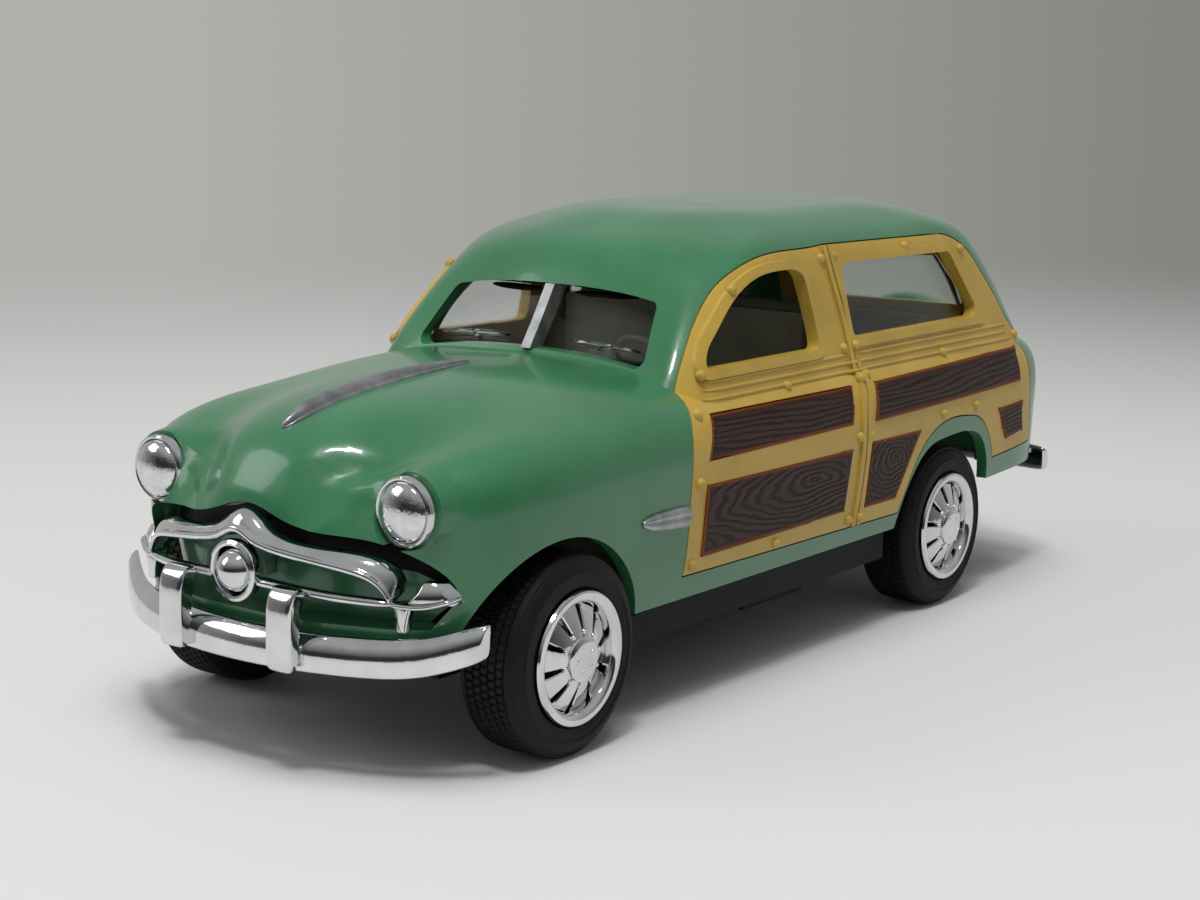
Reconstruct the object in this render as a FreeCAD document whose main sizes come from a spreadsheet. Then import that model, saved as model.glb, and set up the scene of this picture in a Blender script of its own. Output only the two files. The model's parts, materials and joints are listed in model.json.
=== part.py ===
import FreeCAD, Part
import math
import os
import re
import Sketcher

# Toy wood-sided station wagon, in millimetres. +X is the car's left, -Y its nose, +Z up.
# The origin lies on the ground, midway between the bumpers.
# Lengths named along_... run back from the front axle; heights run up from the ground.

sizes = (
    # layout
    ("front_axle_back", 21.0), ("wheelbase", 69.4), ("overall_length", 122.0),
    ("overrun", 3.0), ("thin_gap", 0.15), ("seat_gap", 0.02),
    # green casting, lower half
    ("nose_ahead", 17.6), ("tail_behind", 95.3), ("body_half_width", 21.4),
    ("sill_height", 10.6), ("body_rise", 20.9), ("wall", 1.2), ("nose_wall", 10.5),
    ("tail_foot", 12.7), ("tail_foot_rise", 0.7),
    # green casting, upper half
    ("glasshouse_foot", 25.0), ("glasshouse_rise", 19.6), ("glasshouse_half_width", 19.2),
    ("glasshouse_front", 19.2), ("glasshouse_length", 72.6), ("front_taper", 6.0),
    ("rear_corner", 9.0),
    # arches and mouth
    ("front_arch_length", 22.0), ("front_arch_rise", 10.4), ("front_arch_height", 9.0),
    ("along_front_arch", -0.9), ("rear_arch_length", 21.2), ("rear_arch_rise", 10.4),
    ("rear_arch_height", 9.0), ("along_rear_arch", 57.4), ("mouth_half_width", 18.2),
    ("mouth_foot", 12.6), ("mouth_rise", 9.7), ("mouth_back_ahead", 14.8),
    # side inserts
    ("along_insert", 16.8), ("insert_length", 71.2), ("insert_foot", 12.5), ("insert_rise", 28.6),
    ("insert_reach_low", 15.6), ("insert_reach_top", 14.0),
    ("insert_wall", 1.0), ("field_depth", 0.3), ("ridge_height", 0.25), ("frame_width", 0.9),
    ("post_ridge", 0.7), ("shut_groove", 0.3), ("belt_height", 30.0),
    # tailgate
    ("tailgate_half_width", 13.6), ("tailgate_foot", 15.6), ("tailgate_rise", 24.0),
    ("cover_radius", 9.0), ("cover_height", 22.6), ("cover_thickness", 4.2), ("cover_round", 1.6),
    # windscreen
    ("screen_half_width", 14.0), ("screen_foot", 30.6), ("screen_rise", 7.0),
    ("screen_corner", 0.9), ("glass", 0.8),
    ("divider_width", 1.1), ("divider_proud", 0.35),
    # wheels and tyres
    ("axle_height", 8.92), ("axle_radius", 0.9), ("bearing_gap", 0.05), ("tyre_radius", 8.92),
    ("tyre_width", 6.6), ("tyre_shoulder", 1.3), ("rim_radius", 5.98), ("rim_lip", 0.45),
    ("rim_depth", 2.2), ("rim_back", 5.2), ("disc_thickness", 0.9), ("hub_radius", 1.6),
    ("hub_proud", 0.7), ("hub_bore_depth", 3.0), ("spoke_width", 0.8), ("sidewall_set_back", 0.9),
    ("front_wheel_face", 22.74), ("rear_wheel_face", 21.67),
    # lamps
    ("lamp_radius", 3.0), ("lamp_across", 14.56), ("lamp_height", 22.86), ("along_lamp", 13.4),
    ("lamp_depth", 1.6), ("lamp_bezel", 0.55), ("lamp_dome", 0.7), ("lamp_stem_radius", 1.2),
    ("lamp_stem", 1.4), ("pod_radius", 3.25), ("pod_root_radius", 4.3), ("pod_length", 6.0),
    ("tail_lamp_radius", 1.3), ("tail_lamp_across", 17.2), ("tail_lamp_height", 24.5),
    ("tail_lamp_length", 2.8), ("along_tail_lamp", 91.7),
    # grille
    ("grille_sweep", 30.0), ("grille_nose", 19.3), ("grille_half_width", 18.7),
    ("grille_foot", 14.8), ("grille_rise", 7.2), ("shelf_depth", 2.4), ("shelf_thickness", 1.0),
    ("lip_thickness", 0.6), ("lower_bar_depth", 1.3), ("pad_depth", 2.6), ("pad_lamp_height", 1.9),
    ("bullet_radius", 1.55), ("bullet_ring", 2.5), ("bullet_height", 16.7),
    ("bullet_set_back", 0.6), ("bullet_proud", 1.1), ("grille_web", 1.2), ("grille_post", 1.1),
    ("grille_post_across", 14.7),
    # bumpers
    ("bumper_sweep", 31.0), ("bumper_nose", 20.4), ("bumper_foot", 9.7), ("bumper_bar", 2.8),
    ("bumper_thickness", 1.5), ("bumper_half_width", 21.0), ("overrider_across", 6.32),
    ("overrider_width", 2.3), ("overrider_height", 6.1), ("overrider_depth", 1.0),
    ("overrider_round", 0.35), ("rear_bumper_foot", 11.3), ("bumper_strut", 1.6),
    ("rear_bumper_half_width", 19.6),
    # ornaments
    ("spear_length", 7.6), ("spear_height", 2.1), ("spear_proud", 0.7), ("along_spear", 9.8),
    ("spear_centre_height", 18.6), ("crest_length", 26.0), ("crest_width", 2.2),
    ("crest_proud", 0.8), ("along_crest", -13.4),
    # underside
    ("base_half_width", 19.4), ("base_waist", 13.0), ("base_foot", 7.2), ("base_top", 10.0),
    ("along_base", -8.0), ("base_length", 99.0), ("wheel_bay", 21.6), ("block_foot", 4.2),
    ("block_width", 9.0), ("block_length", 11.4), ("along_block", 38.6), ("block_across", 9.4),
    ("tank_ahead", 13.0), ("tank_length", 9.0),
    # cabin
    ("tub_half_width", 17.0), ("along_tub", 14.0), ("tub_length", 76.0), ("tub_floor", 10.3),
    ("tub_thickness", 1.2), ("seat_half_width", 15.0), ("along_seat", 35.0),
    ("cushion_length", 12.0), ("cushion_height", 26.0), ("seat_back", 3.4),
    ("seat_back_height", 34.0), ("seat_pitch", 25.0), ("dash_height", 28.6), ("dash_length", 4.0),
    ("along_dash", 19.5), ("load_floor", 19.6), ("steer_radius", 3.0), ("steer_rim", 0.45),
    ("steer_across", 7.6), ("along_steer", 29.4), ("steer_height", 30.0), ("column_radius", 0.5),
)

document = FreeCAD.newDocument("station_wagon")
sheet = document.addObject("Spreadsheet::Sheet", "Sizes")
for row, (name, value) in enumerate(sizes, start=1):
    sheet.set("A%d" % row, name)
    sheet.set("B%d" % row, str(value))
    sheet.setAlias("B%d" % row, name)
document.recompute()
names = tuple(name for name, value in sizes)
parts = {}


def size(name):
    return float(getattr(sheet, name))


def bound(text):
    return re.sub(r"[a-z]\w*", lambda word: "Sizes." + word.group() if word.group() in names
                  else word.group(), text)


def worth(text):
    return float(sheet.evalExpression(bound(text)))


def bind(thing, **sources):
    for key, text in sources.items():
        thing.setExpression(key.replace("__", "."), bound(text))


def station(distance):
    return distance + size("front_axle_back") - size("overall_length") / 2


def keep(name, shape):
    piece = document.addObject("Part::Feature", name)
    piece.Shape = shape
    piece.Label = name
    parts[name] = piece
    return piece


def both_sides(name, shape):
    keep(name + "_left", shape)
    keep(name + "_right", shape.mirror(FreeCAD.Vector(0, 0, 0), FreeCAD.Vector(1, 0, 0)))


# Green casting, lower half: one skin lofted through sections across the car.
# Each row is a section: place along the body, half width, centre height, height of the
# valley beside the bonnet and height of the wing's crest, all as shares.
lower_section_shares = (
    (0.000, 0.22, 0.560, 0.53, 0.49),
    (0.008, 0.42, 0.665, 0.60, 0.57),
    (0.022, 0.63, 0.770, 0.67, 0.675),
    (0.045, 0.805, 0.850, 0.72, 0.745),
    (0.078, 0.915, 0.905, 0.78, 0.784),
    (0.125, 0.972, 0.945, 0.845, 0.828),
    (0.190, 0.990, 0.970, 0.905, 0.860),
    (0.270, 0.996, 0.985, 0.945, 0.893),
    (0.340, 1.000, 0.990, 0.960, 0.905),
    (0.500, 1.000, 0.990, 0.965, 0.915),
    (0.720, 1.000, 0.990, 0.965, 0.915),
    (0.860, 0.985, 0.985, 0.960, 0.905),
    (0.935, 0.966, 0.975, 0.945, 0.880),
    (0.975, 0.920, 0.940, 0.905, 0.840),
    (0.994, 0.800, 0.880, 0.850, 0.780),
    (1.000, 0.680, 0.830, 0.800, 0.740),
)
# Half widths and heights of the points down one side of a section.
across_shares = (0.30, 0.60, 0.80, 0.940, 1.0, 0.985, 0.965)
side_height_shares = (0.70, 0.42, 0.13, 0.0)


def lower_section(row, inset, open_foot):
    along_share, width_share, top_share, valley_share, crest_share = row
    length = size("nose_ahead") + size("tail_behind") - 2 * inset
    y = station(along_share * length - size("nose_ahead") + inset)
    half = width_share * size("body_half_width") - inset
    rise = size("body_rise")
    foot = size("sill_height")
    heights = (
        top_share - (top_share - valley_share) * 0.25,
        valley_share,
        crest_share,
        min(crest_share * side_height_shares[0] + 0.18, crest_share * 0.95),
        side_height_shares[1],
        side_height_shares[2],
    )
    points = [(0, foot + top_share * rise - inset)]
    for share, height in zip(across_shares, heights):
        drop = inset if height > side_height_shares[0] else 0
        points.append((share * half, foot + height * rise - drop))
    points.append((across_shares[-1] * half, foot - open_foot))
    left = [FreeCAD.Vector(x, y, z) for x, z in points]
    right = [FreeCAD.Vector(-x, y, z) for x, z in reversed(points[1:])]
    skin = Part.BSplineCurve()
    skin.interpolate(right + left)
    foot_edge = Part.LineSegment(left[-1], right[0])
    return Part.Wire([skin.toShape(), foot_edge.toShape()])


def lower_solid(inset, open_foot=0):
    wires = [lower_section(row, inset, open_foot) for row in lower_section_shares]
    return Part.makeLoft(wires, True, False, False, loft_degree)


# Green casting, upper half: outlines in plan, lofted upwards. Each row holds height, half
# width, front setback and rear setback, as shares of the glasshouse. For the front corner
# follow its half width, how far it lies behind the middle, how round it is and how long
# the side runs outwards behind it; for the rear corner its depth and how square it is.
upper_outline_shares = (
    (0.000, 1.083, -0.030, 0.006, 0.80, 0.004, 0.12, 1.0, 0.9, 0.80),
    (0.115, 1.049, -0.022, 0.003, 0.83, 0.003, 0.12, 1.0, 0.9, 0.80),
    (0.219, 1.011, -0.008, 0.000, 0.866, 0.002, 0.12, 1.0, 0.9, 0.80),
    (0.321, 0.985, 0.011, 0.012, 0.880, 0.003, 0.12, 1.0, 0.95, 0.75),
    (0.505, 0.946, 0.045, 0.040, 0.872, 0.011, 0.14, 1.1, 1.0, 0.70),
    (0.658, 0.917, 0.071, 0.072, 0.855, 0.027, 0.20, 1.2, 1.05, 0.65),
    (0.785, 0.885, 0.098, 0.102, 0.830, 0.040, 0.40, 1.4, 1.15, 0.60),
    (0.871, 0.820, 0.140, 0.136, 0.800, 0.046, 0.65, 1.6, 1.3, 0.45),
    (0.938, 0.690, 0.200, 0.195, 0.780, 0.048, 0.80, 1.7, 1.4, 0.25),
    (0.978, 0.490, 0.275, 0.280, 0.770, 0.040, 0.85, 1.4, 1.35, 0.10),
    (1.000, 0.240, 0.370, 0.390, 0.760, 0.024, 0.85, 0.8, 0.95, 0.0),
)
# Pull of a rear corner's two handles when it is round and when it is square: across, as a
# share of the half width, and back, as a share of the corner's depth.
round_pull_shares = (0.56, 0.44)
square_pull_shares = (0.93, 0.05)
taper_handle_share = 0.45
loft_degree = 3


def rear_corner_edge(half, end, depth, z, squareness):
    across_pull, back_pull = [plain + squareness * (square - plain) for plain, square
                              in zip(round_pull_shares, square_pull_shares)]
    curve = Part.BezierCurve()
    curve.setPoles([FreeCAD.Vector(half, end - depth, z),
                    FreeCAD.Vector(half, end - back_pull * depth, z),
                    FreeCAD.Vector(across_pull * half, end, z),
                    FreeCAD.Vector(0, end, z)])
    return curve.toShape()


def bent_edge(*poles):
    curve = Part.BezierCurve()
    curve.setPoles(list(poles))
    return curve.toShape()


# From the middle of the front, round the pillar's corner, to where the side runs straight.
def front_corner_edges(half, corner_x, front, corner_y, round_share, taper, z):
    middle = FreeCAD.Vector(0, front, z)
    handle = FreeCAD.Vector(corner_x / 2, front, z)
    corner = FreeCAD.Vector(corner_x, corner_y, z)
    side_handle = FreeCAD.Vector(half, corner_y + taper * taper_handle_share, z)
    side = FreeCAD.Vector(half, corner_y + taper, z)
    before = corner + (handle - corner) * round_share
    after = corner + (side_handle - corner) * math.sqrt(round_share)
    return [bent_edge(middle, handle, before), bent_edge(before, corner, after),
            bent_edge(after, side_handle, side)]


def upper_outline(row, inset):
    (rise_share, width_share, front_share, rear_share, corner_share, setback_share, round_share,
     taper_share, depth_share, squareness_share) = row
    z = size("glasshouse_foot") + rise_share * (size("glasshouse_rise") - inset)
    half = width_share * size("glasshouse_half_width") - inset
    length = size("glasshouse_length")
    front = station(size("glasshouse_front") + front_share * length + inset)
    rear = station(size("glasshouse_front") + (1 - rear_share) * length - inset)
    corner_y = front + setback_share * length
    taper = taper_share * size("front_taper")
    depth = depth_share * size("rear_corner")
    edges = []
    for side in (1, -1):
        edges += front_corner_edges(side * half, side * corner_share * half, front, corner_y,
                                    round_share, taper, z)
        edges.append(rear_corner_edge(side * half, rear, depth, z, squareness_share))
        edges.append(Part.LineSegment(FreeCAD.Vector(side * half, corner_y + taper, z),
                                      FreeCAD.Vector(side * half, rear - depth, z)).toShape())
    return Part.Wire(Part.__sortEdges__(edges))


# The inside faces leave out the crown's last outline, too small for the wall's thickness.
def upper_solid(inset):
    rows = upper_outline_shares[:-1] if inset > size("wall") / 2 else upper_outline_shares
    wires = [upper_outline(row, inset) for row in rows]
    return Part.makeLoft(wires, True, False, False, loft_degree)


def body_solid(inset, open_foot=0):
    return lower_solid(inset, open_foot).fuse(upper_solid(inset))


def on_plane(u, v, plane, offset):
    if plane == "side":
        return FreeCAD.Vector(offset, u, v)
    return FreeCAD.Vector(u, offset, v)


def straight_face(points, plane, offset):
    corners = [on_plane(u, v, plane, offset) for u, v in points]
    return Part.Face(Part.makePolygon(corners + [corners[0]]))


# An outline is a ring of runs: a run of two points is straight, a longer one is a smooth
# curve through its points, and each run starts where the last one ended.
def ring_face(runs, plane, offset):
    edges = []
    for run in runs:
        points = [on_plane(u, v, plane, offset) for u, v in run]
        if len(points) == 2:
            edges.append(Part.LineSegment(*points).toShape())
        else:
            curve = Part.BSplineCurve()
            curve.interpolate(points)
            edges.append(curve.toShape())
    return Part.Face(Part.Wire(edges))


# A polygon whose corners are rounded, as a ring face.
def rounded_face(points, radius, plane, offset):
    corners = [FreeCAD.Vector(u, v, 0) for u, v in points]
    count = len(corners)
    starts = []
    for index, corner in enumerate(corners):
        before = (corners[index - 1] - corner).normalize()
        after = (corners[(index + 1) % count] - corner).normalize()
        half_angle = before.getAngle(after) / 2
        reach = radius / math.tan(half_angle)
        inwards = (before + after).normalize()
        middle = corner + inwards * (radius / math.sin(half_angle) - radius)
        starts.append((corner + before * reach, middle, corner + after * reach))
    edges = []
    for index, (start, middle, end) in enumerate(starts):
        spots = [on_plane(spot.x, spot.y, plane, offset) for spot in (start, middle, end)]
        edges.append(Part.Arc(*spots).toShape())
        following = starts[(index + 1) % count][0]
        edges.append(Part.LineSegment(spots[2], on_plane(following.x, following.y, plane,
                                                         offset)).toShape())
    return Part.Face(Part.Wire(edges))


# Side outlines are drawn in shares of the insert's length and rise, and pushed across the
# left half of the car, no deeper than the insert reaches.
def side_spot(along, up):
    return (station(size("along_insert") + along * size("insert_length")),
            size("insert_foot") + up * size("insert_rise"))


# A ring of spots that runs up the front and back along the top, moved outwards.
def grown(spots, grow):
    moved = []
    count = len(spots)
    for index, (y, z) in enumerate(spots):
        normals = []
        for start, end in ((spots[index - 1], (y, z)), ((y, z), spots[(index + 1) % count])):
            run = math.hypot(end[0] - start[0], end[1] - start[1])
            normals.append(((start[1] - end[1]) / run, (end[0] - start[0]) / run))
        (first_y, first_z), (second_y, second_z) = normals
        reach = grow / (1 + first_y * second_y + first_z * second_z)
        moved.append((y + reach * (first_y + second_y), z + reach * (first_z + second_z)))
    return moved


def grown_runs(runs, grow):
    moved = grown([spot for run in runs for spot in run[:-1]], grow)
    moved.append(moved[0])
    result = []
    start = 0
    for run in runs:
        result.append(moved[start:start + len(run)])
        start += len(run) - 1
    return result


def run_prism(shares, grow=0):
    runs = [[side_spot(along, up) for along, up in run] for run in shares]
    face = ring_face(grown_runs(runs, grow), "side", size("wall"))
    return face.extrude(FreeCAD.Vector(size("body_half_width") + size("overrun"), 0, 0))


def insert_prism(grow=0):
    return run_prism(insert_runs_shares, grow).common(insert_reach(grow))


# A strip along the post, between two distances behind its middle line.
def post_prism(start, end):
    edges = []
    for distance in (start, end):
        edges.append([(y + distance, z) for y, z in
                      [side_spot(along, up) for along, up in post_line_shares]])
    ahead, behind = edges
    runs = [list(reversed(ahead)), (ahead[0], behind[0]), behind, (behind[-1], ahead[-1])]
    face = ring_face(runs, "side", size("wall"))
    return face.extrude(FreeCAD.Vector(size("body_half_width") + size("overrun"), 0, 0))


def insert_reach(grow):
    belt = size("belt_height")
    top = size("insert_foot") + size("insert_rise") + size("overrun")
    outside = size("body_half_width") + 2 * size("overrun")
    low = size("insert_reach_low") - grow
    high = size("insert_reach_top") - grow
    face = straight_face(((low, 0), (low, belt), (high, top), (outside, top), (outside, 0)),
                         "end", -size("overall_length"))
    return face.extrude(FreeCAD.Vector(0, 2 * size("overall_length"), 0))


def side_prism(shares, radius_share, grow=0):
    corners = [side_spot(along, up) for along, up in shares]
    face = rounded_face(grown(corners, grow), radius_share * size("insert_rise"),
                        "side", size("wall"))
    return face.extrude(FreeCAD.Vector(size("body_half_width") + size("overrun"), 0, 0))


insert_runs_shares = (
    ((0.000, 0.014), (0.006, 0.220), (0.009, 0.380), (0.019, 0.490), (0.033, 0.548),
     (0.046, 0.606), (0.062, 0.662), (0.078, 0.710), (0.102, 0.775), (0.132, 0.843),
     (0.162, 0.898), (0.197, 0.942), (0.241, 0.975), (0.335, 0.992), (0.424, 0.998)),
    ((0.424, 0.998), (0.773, 0.989)),
    ((0.773, 0.989), (0.813, 0.969), (0.862, 0.905), (0.903, 0.805), (0.945, 0.692),
     (0.960, 0.631)),
    ((0.960, 0.631), (0.990, 0.560), (1.006, 0.480), (1.013, 0.380), (1.024, 0.270),
     (1.032, 0.180), (1.034, 0.116)),
    ((1.034, 0.116), (0.882, 0.099)),
    ((0.882, 0.099), (0.851, 0.229), (0.822, 0.279), (0.784, 0.300), (0.714, 0.307),
     (0.661, 0.272), (0.632, 0.224), (0.598, 0.121), (0.570, -0.005)),
    ((0.570, -0.005), (0.000, 0.014)),
)
door_window_runs_shares = (
    ((0.104, 0.648), (0.090, 0.660), (0.095, 0.692), (0.121, 0.755), (0.158, 0.830),
     (0.204, 0.897), (0.246, 0.926), (0.297, 0.933), (0.331, 0.928), (0.348, 0.908),
     (0.357, 0.850), (0.363, 0.780), (0.368, 0.690), (0.366, 0.658), (0.356, 0.648)),
    ((0.356, 0.648), (0.104, 0.648)),
)
quarter_window_shares = ((0.468, 0.663), (0.455, 0.932), (0.786, 0.924), (0.866, 0.663))
# The post between the windows: a line down its middle, from the roof to the sill.
post_line_shares = ((0.432, 1.060), (0.430, 0.939), (0.446, 0.802), (0.459, 0.641),
                    (0.461, 0.546), (0.450, 0.383), (0.452, 0.309), (0.445, 0.092),
                    (0.439, -0.100))
window_corner_share = 0.035
field_corner_share = 0.008
field_shares = (
    ((0.044, 0.372), (0.065, 0.518), (0.428, 0.511), (0.415, 0.375)),
    ((0.036, 0.062), (0.042, 0.297), (0.418, 0.286), (0.404, 0.065)),
    ((0.478, 0.369), (0.490, 0.507), (0.966, 0.520), (0.970, 0.383)),
    ((0.463, 0.055), (0.473, 0.296), (0.623, 0.293), (0.556, 0.055)),
    ((0.927, 0.157), (0.889, 0.292), (0.982, 0.297), (0.994, 0.172)),
)
arch_runs_shares = (
    ((0.000, -0.200), (0.005, 0.230), (0.055, 0.490), (0.145, 0.735), (0.305, 0.945),
     (0.445, 0.985), (0.610, 1.000), (0.750, 0.980), (0.880, 0.880), (0.965, 0.650),
     (1.000, 0.340), (1.000, -0.200)),
    ((1.000, -0.200), (0.000, -0.200)),
)
mouth_runs_shares = (
    ((-0.90, 0.05), (-0.99, 0.31)),
    ((-0.99, 0.31), (-0.975, 0.45), (-0.935, 0.56), (-0.87, 0.66), (-0.76, 0.755),
     (-0.60, 0.795), (-0.44, 0.812), (-0.33, 0.842), (-0.21, 0.900), (-0.10, 0.972),
     (0.00, 1.00), (0.10, 0.972), (0.21, 0.900), (0.33, 0.842), (0.44, 0.812), (0.60, 0.795),
     (0.76, 0.755), (0.87, 0.66), (0.935, 0.56), (0.975, 0.45), (0.99, 0.31)),
    ((0.99, 0.31), (0.90, 0.05)),
    ((0.90, 0.05), (-0.90, 0.05)),
)
screen_runs_shares = (
    ((-1.00, 0.000), (-0.60, 0.110), (0.00, 0.150), (0.60, 0.110), (1.00, 0.000)),
    ((1.00, 0.000), (0.875, 0.860)),
    ((0.875, 0.860), (0.53, 0.960), (0.00, 1.000), (-0.53, 0.960), (-0.875, 0.860)),
    ((-0.875, 0.860), (-1.00, 0.000)),
)


def rear_arch_prism():
    runs = [[(station(size("along_rear_arch") + along * size("rear_arch_length")),
              size("rear_arch_height") + up * size("rear_arch_rise")) for along, up in run]
            for run in arch_runs_shares]
    across = size("body_half_width") + size("overrun")
    return ring_face(runs, "side", -across).extrude(FreeCAD.Vector(2 * across, 0, 0))


def front_arch_prism():
    across = size("body_half_width") + size("overrun")
    centre = FreeCAD.Vector(-across, station(size("along_front_arch")),
                            size("front_arch_height"))
    half_length = size("front_arch_length") / 2
    tip = centre + FreeCAD.Vector(0, half_length, 0)
    crest = centre + FreeCAD.Vector(0, 0, size("front_arch_rise"))
    oval = Part.Ellipse(tip, crest, centre)
    face = Part.Face(Part.Wire([oval.toShape()]))
    return face.extrude(FreeCAD.Vector(2 * across, 0, 0))


# The tail's lower edge rises behind the rear arch.
def tail_cut():
    start = station(size("along_rear_arch") + size("rear_arch_length") / 2)
    end = station(size("tail_behind")) + size("overrun")
    foot = size("tail_foot")
    face = straight_face(((start, 0), (start, foot), (end, foot + size("tail_foot_rise")),
                          (end, 0)), "side", -2 * size("body_half_width"))
    return face.extrude(FreeCAD.Vector(4 * size("body_half_width"), 0, 0))


def mouth_cut():
    runs = [[(across * size("mouth_half_width"), size("mouth_foot") + up * size("mouth_rise"))
             for across, up in run] for run in mouth_runs_shares]
    ahead = station(-size("nose_ahead")) - size("overrun")
    face = ring_face(runs, "end", ahead)
    prism = face.extrude(FreeCAD.Vector(0, size("nose_ahead") + size("overrun"), 0))
    return prism.cut(mouth_back(0))


# The recess behind the grille ends on a wall swept round the nose.
def mouth_back(gap):
    middle_y = station(-size("mouth_back_ahead")) + size("grille_sweep")
    return Part.makeCylinder(size("grille_sweep") + gap, 2 * size("body_rise"),
                             FreeCAD.Vector(0, middle_y, 0))


def screen_prism(grow=0):
    half = size("screen_half_width") + grow
    foot = size("screen_foot") - grow
    rise = size("screen_rise") + 2 * grow
    runs = [[(across * half, foot + up * rise) for across, up in run]
            for run in screen_runs_shares]
    face = ring_face(runs, "end", station(size("glasshouse_front")) - size("overrun"))
    prism = face.extrude(FreeCAD.Vector(0, size("glasshouse_length") / 3, 0))
    corners = [edge for edge in prism.Edges
               if abs(edge.tangentAt(edge.FirstParameter).y) > 0.99]
    return prism.makeFillet(size("screen_corner"), corners)


def tailgate_prism(grow=0):
    half = size("tailgate_half_width") + grow
    foot = size("tailgate_foot") - grow
    top = size("tailgate_foot") + size("tailgate_rise") + grow
    points = ((-half, foot), (-half, foot + (top - foot) * 0.62), (-half * 0.90, top),
              (half * 0.90, top), (half, foot + (top - foot) * 0.62), (half, foot))
    start = station(size("tail_behind")) - size("glasshouse_length") / 4
    face = straight_face(points, "end", start)
    return face.extrude(FreeCAD.Vector(0, size("glasshouse_length") / 2, 0))


def tailgate_window():
    half = size("tailgate_half_width") * 0.80
    foot = size("belt_height") + size("wall")
    top = size("tailgate_foot") + size("tailgate_rise") - 1.5 * size("wall")
    points = ((-half, foot), (-half * 0.92, top), (half * 0.92, top), (half, foot))
    start = station(size("tail_behind")) - size("glasshouse_length") / 4
    face = straight_face(points, "end", start)
    return face.extrude(FreeCAD.Vector(0, size("glasshouse_length") / 2, 0))


def mirrored(shape):
    return shape.mirror(FreeCAD.Vector(0, 0, 0), FreeCAD.Vector(1, 0, 0))


outer = body_solid(0)
inner_upper = upper_solid(size("wall"))
inner_lower = lower_solid(size("wall"), size("overrun"))
nose_block = Part.makeBox(
    4 * size("body_half_width"), size("nose_wall") + size("overrun"), 2 * size("body_rise"),
    FreeCAD.Vector(-2 * size("body_half_width"), station(-size("nose_ahead")) - size("overrun"),
                   0))
hollow = inner_lower.cut(nose_block).fuse(inner_upper)
skin = outer.cut(hollow)
insert_blank = outer.cut(body_solid(size("insert_wall"), size("overrun")))


def make_shell():
    insert_hole = insert_prism(size("thin_gap"))
    tools = [front_arch_prism(), rear_arch_prism(), tail_cut(), mouth_cut(), screen_prism(),
             tailgate_prism(size("thin_gap")), insert_hole, mirrored(insert_hole)]
    shell = skin
    for tool in tools:
        shell = shell.cut(tool)
    pods = [lamp_pod(1), lamp_pod(-1)]
    shell = shell.fuse(pods)
    for side in (1, -1):
        shell = shell.cut(lamp_socket(side))
    shell = shell.cut([spear_recess(1), spear_recess(-1), tail_lamp_seat(1),
                       tail_lamp_seat(-1)])
    keep("body_shell", max(shell.Solids, key=lambda solid: solid.Volume))


def lamp_pod(side):
    start = FreeCAD.Vector(side * size("lamp_across"), station(-size("along_lamp")),
                           size("lamp_height"))
    return Part.makeCone(size("pod_radius"), size("pod_root_radius"), size("pod_length"), start,
                         FreeCAD.Vector(0, 1, 0))


def lamp_socket(side):
    start = FreeCAD.Vector(side * size("lamp_across"), station(-size("along_lamp")),
                           size("lamp_height"))
    stem = Part.makeCylinder(size("lamp_stem_radius") + size("seat_gap"), size("lamp_stem"),
                             start, FreeCAD.Vector(0, 1, 0))
    recess = Part.makeCylinder(size("lamp_radius") + size("thin_gap"),
                               size("lamp_depth") + size("overrun"), start,
                               FreeCAD.Vector(0, -1, 0))
    return stem.fuse(recess)


def spear_recess(side):
    start = FreeCAD.Vector(side * size("body_half_width") - side * size("wall"),
                           station(size("along_spear") + size("spear_length") / 2),
                           size("spear_centre_height"))
    return Part.makeCylinder(size("spear_height") / 4 + size("seat_gap"), 2 * size("wall"),
                             start, FreeCAD.Vector(side, 0, 0))


def tail_lamp_seat(side):
    start = FreeCAD.Vector(side * size("tail_lamp_across"), station(size("along_tail_lamp")),
                           size("tail_lamp_height"))
    return Part.makeCylinder(size("tail_lamp_radius") + size("seat_gap"),
                             size("tail_lamp_length") + size("overrun"), start,
                             FreeCAD.Vector(0, 1, 0))


def make_insert():
    groove = size("shut_groove") / 2
    ridge = size("post_ridge")
    frames = [run_prism(door_window_runs_shares, size("frame_width")),
              side_prism(quarter_window_shares, window_corner_share, size("frame_width")),
              post_prism(groove, groove + ridge), post_prism(-groove - ridge, -groove)]
    raised = body_solid(-size("ridge_height")).cut(body_solid(size("insert_wall") / 2))
    raised = raised.common(frames[0].fuse(frames[1:]).common(insert_prism()))
    panel = insert_blank.common(insert_prism()).fuse(raised)
    for window in (run_prism(door_window_runs_shares),
                   side_prism(quarter_window_shares, window_corner_share)):
        panel = panel.cut(window)
    pocket_skin = outer.cut(body_solid(size("field_depth")))
    inlay_skin = outer.cut(body_solid(size("field_depth") - size("seat_gap")))
    panel = panel.cut(pocket_skin.common(post_prism(-groove, groove)))
    pockets = [side_prism(shares, field_corner_share) for shares in field_shares]
    prints = [side_prism(shares, field_corner_share, -size("seat_gap"))
              for shares in field_shares]
    both_sides("wood_side", panel.cut(pocket_skin.common(pockets)))
    both_sides("grain_fields", Part.makeCompound(inlay_skin.common(prints).Solids))


def make_tailgate():
    gate = insert_blank.common(tailgate_prism()).cut(tailgate_window())
    keep("tailgate_panel", gate)
    centre = FreeCAD.Vector(0, station(size("tail_behind")) + size("seat_gap"),
                            size("cover_height"))
    cover = Part.makeCylinder(size("cover_radius"), size("cover_thickness"), centre,
                              FreeCAD.Vector(0, 1, 0))
    rim = max(cover.Edges, key=lambda edge: edge.BoundBox.YMax + edge.BoundBox.YMin)
    keep("spare_wheel_cover", cover.makeFillet(size("cover_round"), [rim]))


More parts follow.
